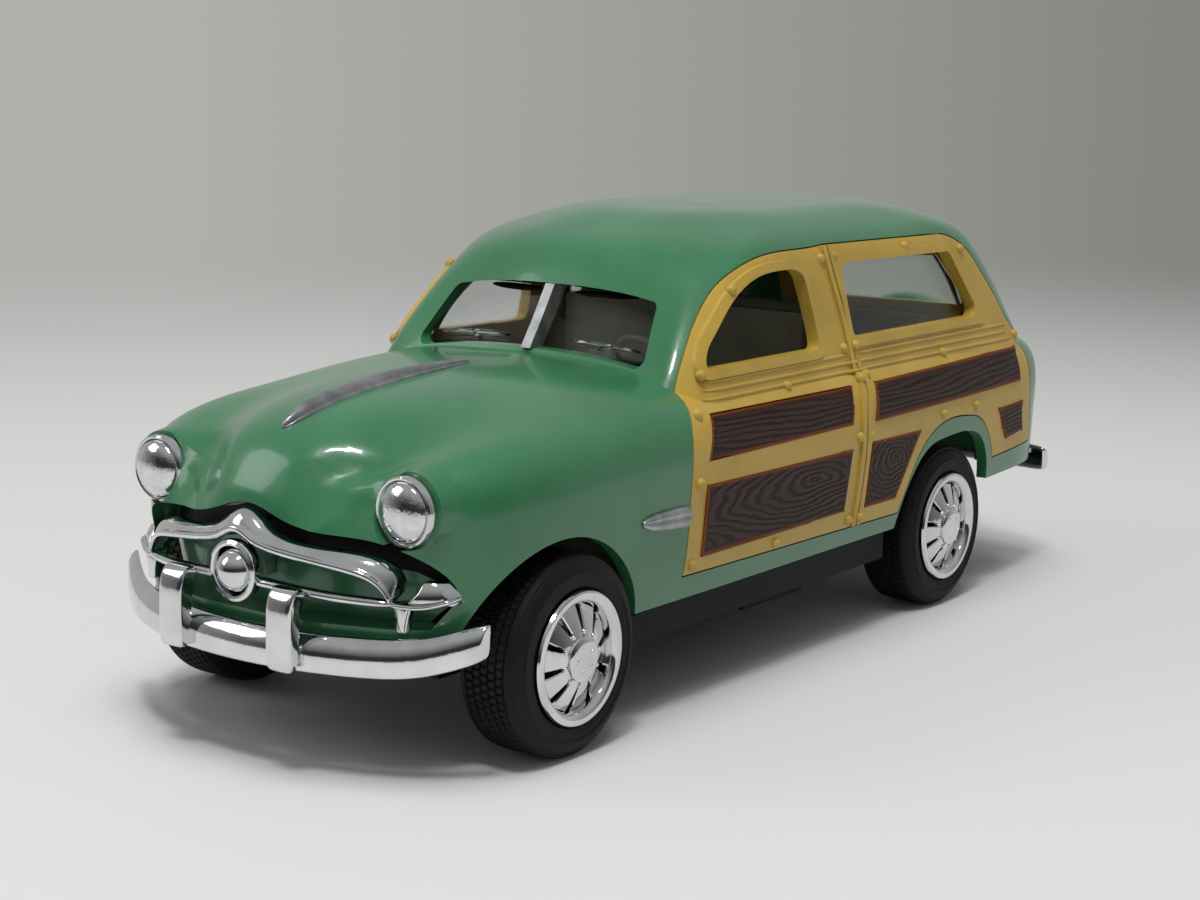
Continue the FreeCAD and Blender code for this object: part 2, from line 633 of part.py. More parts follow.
def make_glass():
    pane_outside = body_solid(size("wall") + size("seat_gap"))
    pane_inside = body_solid(size("wall") + size("seat_gap") + size("glass"))
    pane = pane_outside.cut(pane_inside)
    keep("windshield", pane.common(screen_prism(size("wall"))))
    both_sides("side_glass", pane.common(
        side_prism(quarter_window_shares, window_corner_share, size("wall"))))
    keep("tailgate_glass", pane.common(tailgate_window()))
    post = screen_prism(-size("seat_gap")).common(
        Part.makeBox(size("divider_width"), size("glasshouse_length") / 3,
                     2 * size("screen_rise"),
                     FreeCAD.Vector(-size("divider_width") / 2,
                                    station(size("glasshouse_front")) - size("overrun"),
                                    size("screen_foot") - size("overrun"))))
    proud = body_solid(-size("divider_proud")).cut(body_solid(size("wall")))
    keep("windshield_divider", post.common(proud))


# Pieces turned about an axis: outlines of bound corners, in axial distance and radius.
def origin_item(body, role):
    return [item for item in body.Origin.OriginFeatures if item.Role == role][0]


def outline(body, name, role, corners):
    sketch = body.newObject("Sketcher::SketchObject", name)
    sketch.AttachmentSupport = [(origin_item(body, role), "")]
    sketch.MapMode = "FlatFace"
    spots = [(worth(first), worth(second)) for first, second in corners]
    count = len(spots)
    for index, spot in enumerate(spots):
        after = spots[(index + 1) % count]
        sketch.addGeometry(Part.LineSegment(FreeCAD.Vector(spot[0], spot[1], 0),
                                            FreeCAD.Vector(after[0], after[1], 0)), False)
    for index in range(count):
        sketch.addConstraint(Sketcher.Constraint("Coincident", index, 2,
                                                 (index + 1) % count, 1))
    for index, corner in enumerate(corners):
        for kind, text, value in (("DistanceX", corner[0], spots[index][0]),
                                  ("DistanceY", corner[1], spots[index][1])):
            row = sketch.addConstraint(Sketcher.Constraint(kind, -1, 1, index, 1, value))
            sketch.setExpression("Constraints[%d]" % row, bound(text))
    return sketch


def new_body(name):
    body = document.addObject("PartDesign::Body", name)
    body.Label = name
    parts[name] = body
    return body


def turned(body, name, corners):
    sketch = outline(body, name + "_outline", "XY_Plane", corners)
    solid = body.newObject("PartDesign::Revolution", name)
    solid.Profile = sketch
    solid.ReferenceAxis = (sketch, ["H_Axis"])
    solid.Angle = 360
    return solid


def place(body, x, y, z, turn=0):
    body.Placement = FreeCAD.Placement(FreeCAD.Vector(0, 0, 0),
                                       FreeCAD.Rotation(FreeCAD.Vector(0, 0, 1), turn))
    bind(body, Placement__Base__x=x, Placement__Base__y=y, Placement__Base__z=z)


# The wheel's face lies at zero and its back towards minus X.
tyre_corners = (
    ("-sidewall_set_back", "rim_radius"),
    ("-sidewall_set_back", "tyre_radius - tyre_shoulder"),
    ("-sidewall_set_back - tyre_shoulder / 2", "tyre_radius"),
    ("-sidewall_set_back - tyre_width + tyre_shoulder / 2", "tyre_radius"),
    ("-sidewall_set_back - tyre_width", "tyre_radius - tyre_shoulder"),
    ("-sidewall_set_back - tyre_width", "rim_radius"),
)
rim_corners = (
    ("0", "rim_radius - 2 * rim_lip"),
    ("0", "rim_radius - seat_gap"),
    ("-rim_back - rim_depth", "rim_radius - seat_gap"),
    ("-rim_back - rim_depth", "rim_radius - 2 * rim_lip"),
    ("-rim_depth - disc_thickness", "rim_radius - 2 * rim_lip"),
    ("-rim_depth - disc_thickness", "hub_radius"),
    ("-rim_depth - hub_bore_depth", "hub_radius"),
    ("-rim_depth - hub_bore_depth", "axle_radius"),
    ("-rim_depth", "axle_radius"),
    ("-rim_depth", "0"),
    ("-rim_depth + hub_proud", "0"),
    ("-rim_depth + hub_proud", "hub_radius * 0.7"),
    ("-rim_depth", "hub_radius"),
    ("-rim_depth", "rim_radius - 2 * rim_lip"),
)
spoke_count = 10


def make_wheel(name, face, place_along, side):
    wheel = new_body("wheel_" + name)
    turned(wheel, "rim_" + name, rim_corners)
    inner_radius = "(hub_radius * 1.15)"
    outer_radius = "(rim_radius - 2.6 * rim_lip)"
    half_angle = "(180 / %d)" % spoke_count
    corners = (
        ("%s * tan(%s) - spoke_width / 2" % (inner_radius, half_angle), inner_radius),
        ("%s * tan(%s) - spoke_width / 2" % (outer_radius, half_angle), outer_radius),
        ("spoke_width / 2 - %s * tan(%s)" % (outer_radius, half_angle), outer_radius),
        ("spoke_width / 2 - %s * tan(%s)" % (inner_radius, half_angle), inner_radius),
    )
    sketch = outline(wheel, "gap_outline_" + name, "YZ_Plane", corners)
    document.recompute()
    pocket = wheel.newObject("PartDesign::Pocket", "gap_" + name)
    pocket.Profile = sketch
    pocket.Type = "ThroughAll"
    pocket.Midplane = True
    document.recompute()
    pattern = wheel.newObject("PartDesign::PolarPattern", "gaps_" + name)
    pattern.Originals = [pocket]
    pattern.Axis = (origin_item(wheel, "X_Axis"), [""])
    pattern.Angle = 360
    pattern.Occurrences = spoke_count
    wheel.Tip = pattern
    tyre = new_body("tyre_" + name)
    turned(tyre, "rubber_" + name, tyre_corners)
    turn = 0 if side > 0 else 180
    for body in (wheel, tyre):
        place(body, "%d * %s" % (side, face), place_along, "axle_height", turn)


def make_axle(name, face, place_along):
    axle = new_body(name)
    end = "(%s - rim_depth - seat_gap)" % face
    turned(axle, name + "_rod", (("-" + end, "0"), (end, "0"), (end, "axle_radius - seat_gap"),
                                 ("-" + end, "axle_radius - seat_gap")))
    place(axle, "0", place_along, "axle_height")


front_place = "front_axle_back - overall_length / 2"
rear_place = "front_axle_back + wheelbase - overall_length / 2"


def make_running_gear():
    for end, face, where in (("front", "front_wheel_face", front_place),
                             ("rear", "rear_wheel_face", rear_place)):
        for side_name, side in (("left", 1), ("right", -1)):
            make_wheel(end + "_" + side_name, face, where, side)
        make_axle(end + "_axle", face, where)


# Headlamp: a turned bowl with a raised ring, a domed lens and a stem in its socket.
def make_lamps():
    corners = (
        ("lamp_stem", "0"), ("lamp_stem", "lamp_stem_radius"), ("0", "lamp_stem_radius"),
        ("0", "lamp_radius * 0.92"), ("-lamp_depth * 0.4", "lamp_radius"),
        ("-lamp_depth * 0.8", "lamp_radius"), ("-lamp_depth", "lamp_radius - lamp_bezel * 0.4"),
        ("-lamp_depth * 0.8", "lamp_radius - lamp_bezel"),
        ("-lamp_depth * 0.95", "lamp_radius * 0.6"), ("-lamp_depth * 0.8 - lamp_dome", "0"),
    )
    for side_name, side in (("left", 1), ("right", -1)):
        lamp = new_body("headlight_" + side_name)
        turned(lamp, "bowl_" + side_name, corners)
        place(lamp, "%d * lamp_across" % side,
              "-along_lamp + front_axle_back - overall_length / 2 - seat_gap", "lamp_height", 90)
        tail = new_body("tail_lamp_" + side_name)
        turned(tail, "tail_lens_" + side_name,
               (("0", "0"), ("0", "tail_lamp_radius"),
                ("tail_lamp_length * 0.6", "tail_lamp_radius * 0.9"),
                ("tail_lamp_length", "tail_lamp_radius * 0.5"), ("tail_lamp_length", "0")))
        place(tail, "%d * tail_lamp_across" % side,
              "along_tail_lamp + seat_gap + front_axle_back - overall_length / 2",
              "tail_lamp_height", 90)


# Grille and bumpers: bars lofted across the car through upright sections, whose front edge
# follows an arc in plan.
def arc_front(sweep, nose, across):
    return station(-nose) + sweep - math.sqrt(sweep ** 2 - across ** 2)


def section_loft(sections, ruled=False):
    wires = []
    for x, corners in sections:
        spots = [FreeCAD.Vector(x, y, z) for y, z in corners]
        wires.append(Part.makePolygon(spots + [spots[0]]))
    return Part.makeLoft(wires, True, ruled, False, loft_degree)


def both_ways(rows):
    return [(-row[0],) + row[1:] for row in reversed(rows[1:])] + list(rows)


# Rows of the grille's bars: place across, height of the front lip's middle and height of the
# top's back edge, as shares of the grille's half width and rise.
shelf_shares = (
    (0.000, 0.785, 0.975), (0.060, 0.725, 0.920), (0.118, 0.650, 0.805), (0.180, 0.606, 0.705),
    (0.320, 0.549, 0.628), (0.480, 0.490, 0.597), (0.640, 0.420, 0.576), (0.700, 0.355, 0.520),
    (0.738, 0.236, 0.430), (0.760, 0.115, 0.306),
)
lower_bar_shares = ((0.000, 0.170, 0.215), (0.190, 0.165, 0.210), (0.400, 0.115, 0.160),
                    (0.600, 0.085, 0.130), (0.800, 0.070, 0.115))
pad_shares = ((0.745, 0.065, 0.110), (0.800, 0.055, 0.100), (0.880, 0.050, 0.095),
              (0.950, 0.100, 0.145), (1.000, 0.150, 0.195))
pad_lamp_shares = ((0.800, 0.10), (0.850, 1.00), (0.940, 0.95), (0.985, 0.15))
overrider_runs_shares = (
    ((0.00, 0.06), (0.00, 0.60)),
    ((0.00, 0.60), (0.06, 0.80), (0.26, 0.95), (0.55, 1.00)),
    ((0.55, 1.00), (0.68, 1.00)),
    ((0.68, 1.00), (0.68, 0.86)),
    ((0.68, 0.86), (0.62, 0.50)),
    ((0.62, 0.50), (0.62, 0.00)),
    ((0.62, 0.00), (0.08, 0.00)),
    ((0.08, 0.00), (0.00, 0.06)),
)
# Front bumper: place across and how far the bar has risen there, as a share of its height.
bumper_rise_shares = ((0.00, 0.00), (0.35, 0.00), (0.62, 0.00), (0.76, 0.04), (0.88, 0.26),
                      (0.95, 0.46), (1.00, 0.62))
# A bumper's section: set back from the front and height, as shares of thickness and bar.
bumper_section_shares = ((0.00, 0.06), (0.00, 0.46), (0.14, 0.74), (0.50, 0.95), (1.00, 1.00),
                         (1.00, 0.00), (0.12, 0.00))


def grille_bar(rows, depth, thickness):
    sections = []
    lip = size("lip_thickness") / 2
    for across_share, lip_share, back_share in rows:
        x = across_share * size("grille_half_width")
        front = arc_front(size("grille_sweep"), size("grille_nose"), x)
        middle = size("grille_foot") + lip_share * size("grille_rise")
        back = size("grille_foot") + back_share * size("grille_rise")
        sections.append((x, ((front, middle - lip), (front, middle + lip),
                             (front + depth, back), (front + depth, back - thickness))))
    return section_loft(sections)


def pad_lamp():
    sections = []
    top = size("grille_foot") + pad_shares[1][2] * size("grille_rise")
    foot = size("grille_foot")
    for across_share, height_share in pad_lamp_shares:
        x = across_share * size("grille_half_width")
        front = arc_front(size("grille_sweep"), size("grille_nose"), x) + size("lip_thickness")
        peak = top + height_share * size("pad_lamp_height")
        back = front + size("pad_depth") - 2 * size("lip_thickness")
        middle = (front + back) / 2
        sections.append((x, ((front, foot), (front, (top + peak) / 2), (middle, peak),
                             (back, peak), (back, foot))))
    return section_loft(sections, True)


def grille_post():
    x = size("grille_post_across")
    half = size("grille_post") / 2
    y = arc_front(size("grille_sweep"), size("grille_nose"), x) + size("lip_thickness")
    foot = size("bumper_foot") + size("bumper_bar") + 3 * size("thin_gap")
    return box((x - half, y, foot),
               (x + half, y + size("grille_post"), size("grille_foot") + size("lip_thickness")))


def make_grille():
    shelf = grille_bar(both_ways(shelf_shares), size("shelf_depth"), size("shelf_thickness"))
    lower = grille_bar(both_ways(lower_bar_shares), size("lower_bar_depth"),
                       size("lip_thickness"))
    pad = grille_bar(pad_shares, size("pad_depth"), size("lip_thickness"))
    pad = pad.fuse([pad_lamp(), grille_post()])
    front = station(-size("grille_nose")) + size("bullet_set_back")
    height = size("bullet_height")
    ring = Part.makeCylinder(size("bullet_ring"), size("lower_bar_depth"),
                             FreeCAD.Vector(0, front, height), FreeCAD.Vector(0, 1, 0))
    bullet = Part.makeSphere(size("bullet_radius"),
                             FreeCAD.Vector(0, front + size("bullet_radius")
                                            - size("bullet_proud"), height))
    web = size("grille_web") / 2
    web_top = size("grille_foot") + shelf_shares[0][1] * size("grille_rise")
    web_box = box((-web, front + size("lower_bar_depth") / 2, height - web),
                  (web, front + size("nose_wall"), web_top))
    shape = shelf.fuse([lower, pad, mirrored(pad), ring, bullet, web_box])
    hull = lower_solid(-size("seat_gap")).cut(mouth_cut())
    shape = shape.cut([hull, mouth_back(size("seat_gap"))])
    keep("grille", max(shape.Solids, key=lambda solid: solid.Volume))


def bumper_loft(sweep, foot, half_width, rows):
    sections = []
    for across_share, rise_share in both_ways(rows):
        x = across_share * half_width
        front = arc_front(sweep, size("bumper_nose"), x)
        low = foot + rise_share * size("bumper_bar")
        sections.append((x, [(front + back * size("bumper_thickness"),
                              low + up * size("bumper_bar"))
                             for back, up in bumper_section_shares]))
    return section_loft(sections)


def overrider():
    depth = size("overrider_depth") + size("bumper_thickness")
    front = arc_front(size("bumper_sweep"), size("bumper_nose"),
                      size("overrider_across")) - size("overrider_depth")
    runs = [[(front + back * depth, size("bumper_foot") + up * size("overrider_height"))
             for back, up in run] for run in overrider_runs_shares]
    start = size("overrider_across") - size("overrider_width") / 2
    block = ring_face(runs, "side", start).extrude(
        FreeCAD.Vector(size("overrider_width"), 0, 0))
    rims = [edge for edge in block.Edges if edge.BoundBox.XLength < size("seat_gap")
            and edge.BoundBox.YMin < front + size("overrider_depth") / 2]
    return block.makeFillet(size("overrider_round"), rims)


def bumper_struts(across, y, foot):
    half = size("bumper_strut") / 2
    middle = foot + size("bumper_bar") / 2
    strut = box((across - half, y, middle - half),
                (across + half, y + size("nose_wall"), middle + half))
    return [strut, mirrored(strut)]


def make_bumpers():
    sweep = size("bumper_sweep")
    across = size("overrider_across")
    inside = size("bumper_thickness") / 2
    bar = bumper_loft(sweep, size("bumper_foot"), size("bumper_half_width"), bumper_rise_shares)
    block = overrider()
    struts = bumper_struts(across, arc_front(sweep, size("bumper_nose"), across) + inside,
                           size("bumper_foot"))
    hull = lower_solid(-size("seat_gap"))
    shape = bar.fuse([block, mirrored(block)] + struts).cut(hull)
    keep("front_bumper", max(shape.Solids, key=lambda solid: solid.Volume))
    flat_rows = ((0.0, 0.0), (0.5, 0.0), (1.0, 0.0))
    rear = bumper_loft(2 * sweep, size("rear_bumper_foot"), size("rear_bumper_half_width"),
                       flat_rows)
    rear = rear.fuse(bumper_struts(2 * across, arc_front(2 * sweep, size("bumper_nose"),
                                                         2 * across) + inside,
                                   size("rear_bumper_foot")))
    rear.rotate(FreeCAD.Vector(0, 0, 0), FreeCAD.Vector(0, 0, 1), 180)
    rear.translate(FreeCAD.Vector(0, size("overall_length") / 2 + station(-size("bumper_nose")),
                                  0))
    shape = rear.cut(hull)
    keep("rear_bumper", max(shape.Solids, key=lambda solid: solid.Volume))


def make_ornaments():
    y = station(size("along_spear"))
    z = size("spear_centre_height")
    half = size("spear_height") / 2
    points = ((y, z), (y + half, z + half * 0.8), (y + size("spear_length"), z + half),
              (y + size("spear_length"), z - half), (y + half, z - half * 0.8))
    face = straight_face(points, "side", size("wall"))
    prism = face.extrude(FreeCAD.Vector(size("body_half_width") + size("overrun"), 0, 0))
    proud = body_solid(-size("spear_proud")).cut(body_solid(-size("seat_gap")))
    spear = proud.common(prism)
    peg = Part.makeCylinder(
        half / 2, size("spear_proud") / 2 + size("wall"),
        FreeCAD.Vector(size("body_half_width") - size("wall"), y + size("spear_length") / 2, z),
        FreeCAD.Vector(1, 0, 0))
    both_sides("fender_spear", spear.fuse(peg))
    start = station(size("along_crest"))
    length = size("crest_length")
    half_width = size("crest_width") / 2
    plan = Part.Face(Part.makePolygon([
        FreeCAD.Vector(0, start + length, size("sill_height")),
        FreeCAD.Vector(half_width * 0.7, start + length * 0.4, size("sill_height")),
        FreeCAD.Vector(half_width, start + length * 0.08, size("sill_height")),
        FreeCAD.Vector(0, start, size("sill_height")),
        FreeCAD.Vector(-half_width, start + length * 0.08, size("sill_height")),
        FreeCAD.Vector(-half_width * 0.7, start + length * 0.4, size("sill_height")),
        FreeCAD.Vector(0, start + length, size("sill_height"))]))
    column = plan.extrude(FreeCAD.Vector(0, 0, 2 * size("body_rise")))
    skin_band = lower_solid(-size("crest_proud")).cut(lower_solid(-size("seat_gap")))
    keep("hood_ornament", skin_band.common(column))


def box(low, high):
    return Part.makeBox(high[0] - low[0], high[1] - low[1], high[2] - low[2],
                        FreeCAD.Vector(*low))


def make_base():
    start = station(size("along_base"))
    end = start + size("base_length")
    bay = size("wheel_bay") / 2
    front = station(0)
    rear = station(size("wheelbase"))
    foot = size("base_foot")
    top = size("base_top")
    waist = size("base_waist")
    half = size("base_half_width")
    slab = box((-waist, start, foot), (waist, end, top))
    middle = box((-half, front + bay, foot), (half, rear - bay - size("wall"), top))
    block = box((size("block_across"), station(size("along_block")), size("block_foot")),
                (size("block_across") + size("block_width") / 2,
                 station(size("along_block")) + size("block_length"), foot))
    tank = box((-size("block_width"), rear - size("tank_ahead"), size("block_foot")),
               (size("block_width"), rear - size("tank_ahead") + size("tank_length"), foot))
    shape = slab.fuse([middle, block, mirrored(block), tank])
    bore = size("axle_radius") - size("seat_gap") + size("bearing_gap")
    for y in (front, rear):
        shape = shape.cut(Part.makeCylinder(bore, 4 * half,
                                            FreeCAD.Vector(-2 * half, y, size("axle_height")),
                                            FreeCAD.Vector(1, 0, 0)))
    shape = shape.cut(outer.cut(hollow))
    keep("chassis_base", max(shape.Solids, key=lambda solid: solid.Volume))


def make_cabin():
    start = station(size("along_tub"))
    half = size("tub_half_width")
    low = size("tub_floor")
    thick = size("tub_thickness")
    arch = station(size("wheelbase")) - size("wheel_bay") / 2 - size("wall")
    end = start + size("tub_length")
    load = size("load_floor")
    pieces = [box((-half, start, low), (half, arch, low + thick))]
    pieces.append(box((-half, arch - thick, low), (half, arch, load)))
    pieces.append(box((-half, arch - thick, load - thick), (half, end, load)))
    seat = size("seat_half_width")
    for place_along in (size("along_seat"), size("along_seat") + size("seat_pitch")):
        y = station(place_along)
        pieces.append(box((-seat, y, low), (seat, y + size("cushion_length"),
                                            size("cushion_height"))))
        pieces.append(box((-seat, y + size("cushion_length") - size("overrun") / 6, low),
                          (seat, y + size("cushion_length") + size("seat_back"),
                           size("seat_back_height"))))
    dash = station(size("along_dash"))
    pieces.append(box((-seat, dash, low), (seat, dash + size("dash_length"),
                                           size("dash_height"))))
    tub = pieces[0].fuse(pieces[1:])
    bays = box((size("base_waist"), arch, 0),
               (2 * half, station(size("wheelbase")) + size("wheel_bay") / 2 + size("wall"),
                load - thick))
    tub = tub.cut([bays, mirrored(bays)])
    tub = tub.common(body_solid(size("wall") + size("seat_gap"), size("overrun")))
    keep("interior_tub", max(tub.Solids, key=lambda solid: solid.Volume))
    wheel = Part.makeTorus(size("steer_radius"), size("steer_rim"))
    wheel = wheel.fuse(Part.makeCylinder(size("column_radius"), size("dash_height") / 4,
                                         FreeCAD.Vector(0, 0, 0), FreeCAD.Vector(0, 0, -1)))
    wheel = wheel.fuse(Part.makeBox(2 * size("steer_radius"), size("column_radius"),
                                    size("column_radius"),
                                    FreeCAD.Vector(-size("steer_radius"),
                                                   -size("column_radius") / 2,
                                                   -size("column_radius") / 2)))
    wheel.Placement = FreeCAD.Placement(
        FreeCAD.Vector(size("steer_across"), station(size("along_steer")), size("steer_height")),
        FreeCAD.Rotation(FreeCAD.Vector(1, 0, 0), -55))
    wheel = wheel.cut(parts["interior_tub"].Shape)
    keep("steering_wheel", max(wheel.Solids, key=lambda solid: solid.Volume))


make_shell()
make_insert()
make_tailgate()
make_glass()
make_running_gear()
make_lamps()
make_grille()
make_bumpers()
make_ornaments()
make_base()
make_cabin()
document.recompute()

for item in document.Objects:
    if "Invalid" in item.State or "Error" in item.State:
        raise RuntimeError("failed: " + item.Label)
for name, piece in parts.items():
    if piece.Shape.isNull() or not piece.Shape.isValid():
        raise RuntimeError("bad shape: " + name)

os.makedirs("parts", exist_ok=True)
for name, piece in parts.items():
    piece.Shape.exportStep("parts/" + name + ".step")
    print(name, len(piece.Shape.Solids), round(piece.Shape.Volume, 2))
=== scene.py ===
import json
import math

import bpy
from mathutils import Matrix, Vector
from mathutils.bvhtree import BVHTree


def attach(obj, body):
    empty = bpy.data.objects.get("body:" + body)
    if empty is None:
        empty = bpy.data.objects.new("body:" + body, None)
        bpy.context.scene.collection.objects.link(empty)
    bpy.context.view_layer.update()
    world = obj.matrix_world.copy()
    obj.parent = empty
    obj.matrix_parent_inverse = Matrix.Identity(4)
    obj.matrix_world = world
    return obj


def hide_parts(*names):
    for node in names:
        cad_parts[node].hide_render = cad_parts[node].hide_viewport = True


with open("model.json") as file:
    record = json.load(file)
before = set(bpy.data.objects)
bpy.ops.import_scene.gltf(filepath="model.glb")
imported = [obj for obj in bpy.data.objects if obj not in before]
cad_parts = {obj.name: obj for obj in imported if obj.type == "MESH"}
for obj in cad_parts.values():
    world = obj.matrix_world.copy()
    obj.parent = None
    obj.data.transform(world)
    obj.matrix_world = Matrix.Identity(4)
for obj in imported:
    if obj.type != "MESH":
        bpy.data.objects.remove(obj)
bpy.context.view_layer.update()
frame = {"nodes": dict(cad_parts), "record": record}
nodes = frame["nodes"]
mm = 0.001


# Helpers for materials

def toLinear(hexColour):
    channels = [int(hexColour[i:i + 2], 16) / 255 for i in (1, 3, 5)]
    return [c / 12.92 if c <= 0.04045 else ((c + 0.055) / 1.055) ** 2.4 for c in channels] + [1]


# A link is (node, output name), and "stops" are the (place, colour) pairs of a colour ramp
def addNode(tree, kind, settings=None, links=None):
    node = tree.nodes.new(kind)
    for key, value in (settings or {}).items():
        if key == "stops":
            for element, (where, colour) in zip(node.color_ramp.elements, value):
                element.color = toLinear(colour)
                element.position = where
        elif isinstance(key, int) or key in node.inputs:
            node.inputs[key].default_value = value
        else:
            setattr(node, key, value)
    for key, (source, output) in (links or {}).items():
        tree.links.new(source.outputs[output], node.inputs[key])
    return node


def newMaterial(name, **settings):
    material = bpy.data.materials.new(name)
    material.use_nodes = True
    tree = material.node_tree
    shader = tree.nodes["Principled BSDF"]
    for key, value in settings.items():
        socket = key.replace("_", " ")
        shader.inputs[socket].default_value = toLinear(value) if isinstance(value, str) else value
    return material, tree, shader


# Colour and polish drifting over patches, and fine bumps; patch, grain and depth are in mm
def mottled(name, dark, light, patch, grain, depth, rough, **settings):
    material, tree, shader = newMaterial(name, **settings)
    place = addNode(tree, "ShaderNodeTexCoord")
    drift = addNode(tree, "ShaderNodeTexNoise", {"Scale": 1 / (patch * mm), "Detail": 3.0},
                    {"Vector": (place, "Object")})
    tone = addNode(tree, "ShaderNodeValToRGB", {"stops": ((0.25, dark), (0.75, light))},
                   {"Fac": (drift, "Fac")})
    tone.color_ramp.interpolation = "EASE"
    fine = addNode(tree, "ShaderNodeTexNoise", {"Scale": 1 / (grain * mm), "Detail": 2.0},
                   {"Vector": (place, "Object")})
    polish = addNode(tree, "ShaderNodeMapRange", {"To Min": rough[0], "To Max": rough[1]},
                     {"Value": (drift, "Fac")})
    relief = addNode(tree, "ShaderNodeBump", {"Strength": 1.0, "Distance": depth * mm},
                     {"Height": (fine, "Fac")})
    tree.links.new(tone.outputs["Color"], shader.inputs["Base Color"])
    tree.links.new(polish.outputs["Result"], shader.inputs["Roughness"])
    tree.links.new(relief.outputs["Normal"], shader.inputs["Normal"])
    return material


def setLook(target, material):
    target.data.materials.clear()
    target.data.materials.append(material)
    for face in target.data.polygons:
        face.material_index = 0


# Gloss enamel sprayed on a zinc casting: thick and glassy, with a slight orange peel
greenEnamel = mottled("greenGlossEnamel", "#2e6d47", "#35774f", patch=9.0, grain=0.9,
                      depth=0.012, rough=(0.26, 0.34), Coat_Weight=0.5, Coat_Roughness=0.07)

# Moulded ABS in a waxy tan: a soft shine and faint flow marks
tanPlastic = mottled("tanMouldedPlastic", "#b3933a", "#bfa046", patch=6.0, grain=0.35,
                     depth=0.010, rough=(0.30, 0.42))

# Vacuum-plated plastic: mirror bright, with small dimples under the plating
platedPlastic = mottled("vacuumPlatedPlastic", "#d5d6d8", "#e6e7e8", patch=3.0, grain=0.8,
                        depth=0.012, rough=(0.05, 0.13), Metallic=1.0)

# Headlamp lens: the same plating over a rougher moulding, which breaks up its reflections
platedLens = mottled("platedLensMoulding", "#cfd0d1", "#e6e6e7", patch=0.9, grain=0.3,
                     depth=0.022, rough=(0.07, 0.16), Metallic=1.0)

# Silver trim paint laid on with a brush: satin and a little uneven
silverPaint = mottled("silverTrimPaint", "#8d9092", "#b5b7b9", patch=1.6, grain=0.25,
                      depth=0.012, rough=(0.22, 0.4), Metallic=0.85)

# Moulded rubber: near black and dull, a little dusty in patches
blackRubber = mottled("mouldedRubber", "#090909", "#101011", patch=2.2, grain=0.18,
                      depth=0.02, rough=(0.55, 0.72), Specular_IOR_Level=0.3)

# Drawn steel rod: bright grey with fine, shallow marks
steelRod = mottled("drawnSteel", "#87898c", "#a9acaf", patch=0.8, grain=0.12,
                   depth=0.006, rough=(0.24, 0.38), Metallic=1.0)

# Black ABS from a spark-eroded mould: nearly matt, with a light grain
blackPlastic = mottled("blackMouldedPlastic", "#070708", "#0d0d0e", patch=5.0, grain=0.22,
                       depth=0.02, rough=(0.42, 0.58), Specular_IOR_Level=0.15)

# Cream polystyrene of the cabin, matt; its colour is darkened to a dull stone as painted shade,
# for the shade inside the cabin
creamShadedPlastic = mottled("creamPlasticPaintedShade", "#8f8b7c", "#a5a192", patch=4.0, grain=0.3,
                       depth=0.012, rough=(0.42, 0.55))

# Red gloss paint of the tail lamps: deep and wet looking
redPaint = mottled("redGlossPaint", "#7d1010", "#981616", patch=1.5, grain=0.4,
                   depth=0.01, rough=(0.2, 0.3), Coat_Weight=0.8, Coat_Roughness=0.05)

# Clear moulded polystyrene: little to see but its reflections, and a faint ripple and haze.
# The IOR is below polystyrene's own, so that the panes bend the cabin behind them less.
clearPane = {"colour": "#eef3f1", "ior": 1.3, "patch": 4.0, "rough": (0.02, 0.09), "depth": 0.01}
clearPlastic, tree, shader = newMaterial("clearPolystyrene", Base_Color=clearPane["colour"],
                                         IOR=clearPane["ior"], Transmission_Weight=1.0)
place = addNode(tree, "ShaderNodeTexCoord")
haze = addNode(tree, "ShaderNodeTexNoise", {"Scale": 1 / (clearPane["patch"] * mm)},
               {"Vector": (place, "Object")})
smear = addNode(tree, "ShaderNodeMapRange", {"To Min": clearPane["rough"][0],
                                             "To Max": clearPane["rough"][1]},
                {"Value": (haze, "Fac")})
ripple = addNode(tree, "ShaderNodeBump", {"Strength": 1.0, "Distance": clearPane["depth"] * mm},
                 {"Height": (haze, "Fac")})
tree.links.new(smear.outputs["Result"], shader.inputs["Roughness"])
tree.links.new(ripple.outputs["Normal"], shader.inputs["Normal"])


# Printed wood grain: dark lines over brown inside a red-brown border, dull as dried ink.
# The lines are rings about a middle (y, z in mm), stretched along the car. A far middle and a
# long stretch give straight grain.
printed = {"pitch": 0.5, "swaySize": 1.9, "sway": 1.5, "gritSize": 0.22, "grit": 1.4,
           "depth": 0.04, "inkFrom": -0.3, "inkTo": 1.7, "borderFrom": 0.45, "borderTo": 0.9,
           "lines": ((0.15, "#080302"), (0.62, "#3b241a")),
           "border": ((0.1, "#7d3a0e"), (0.45, "#2c0f06"))}


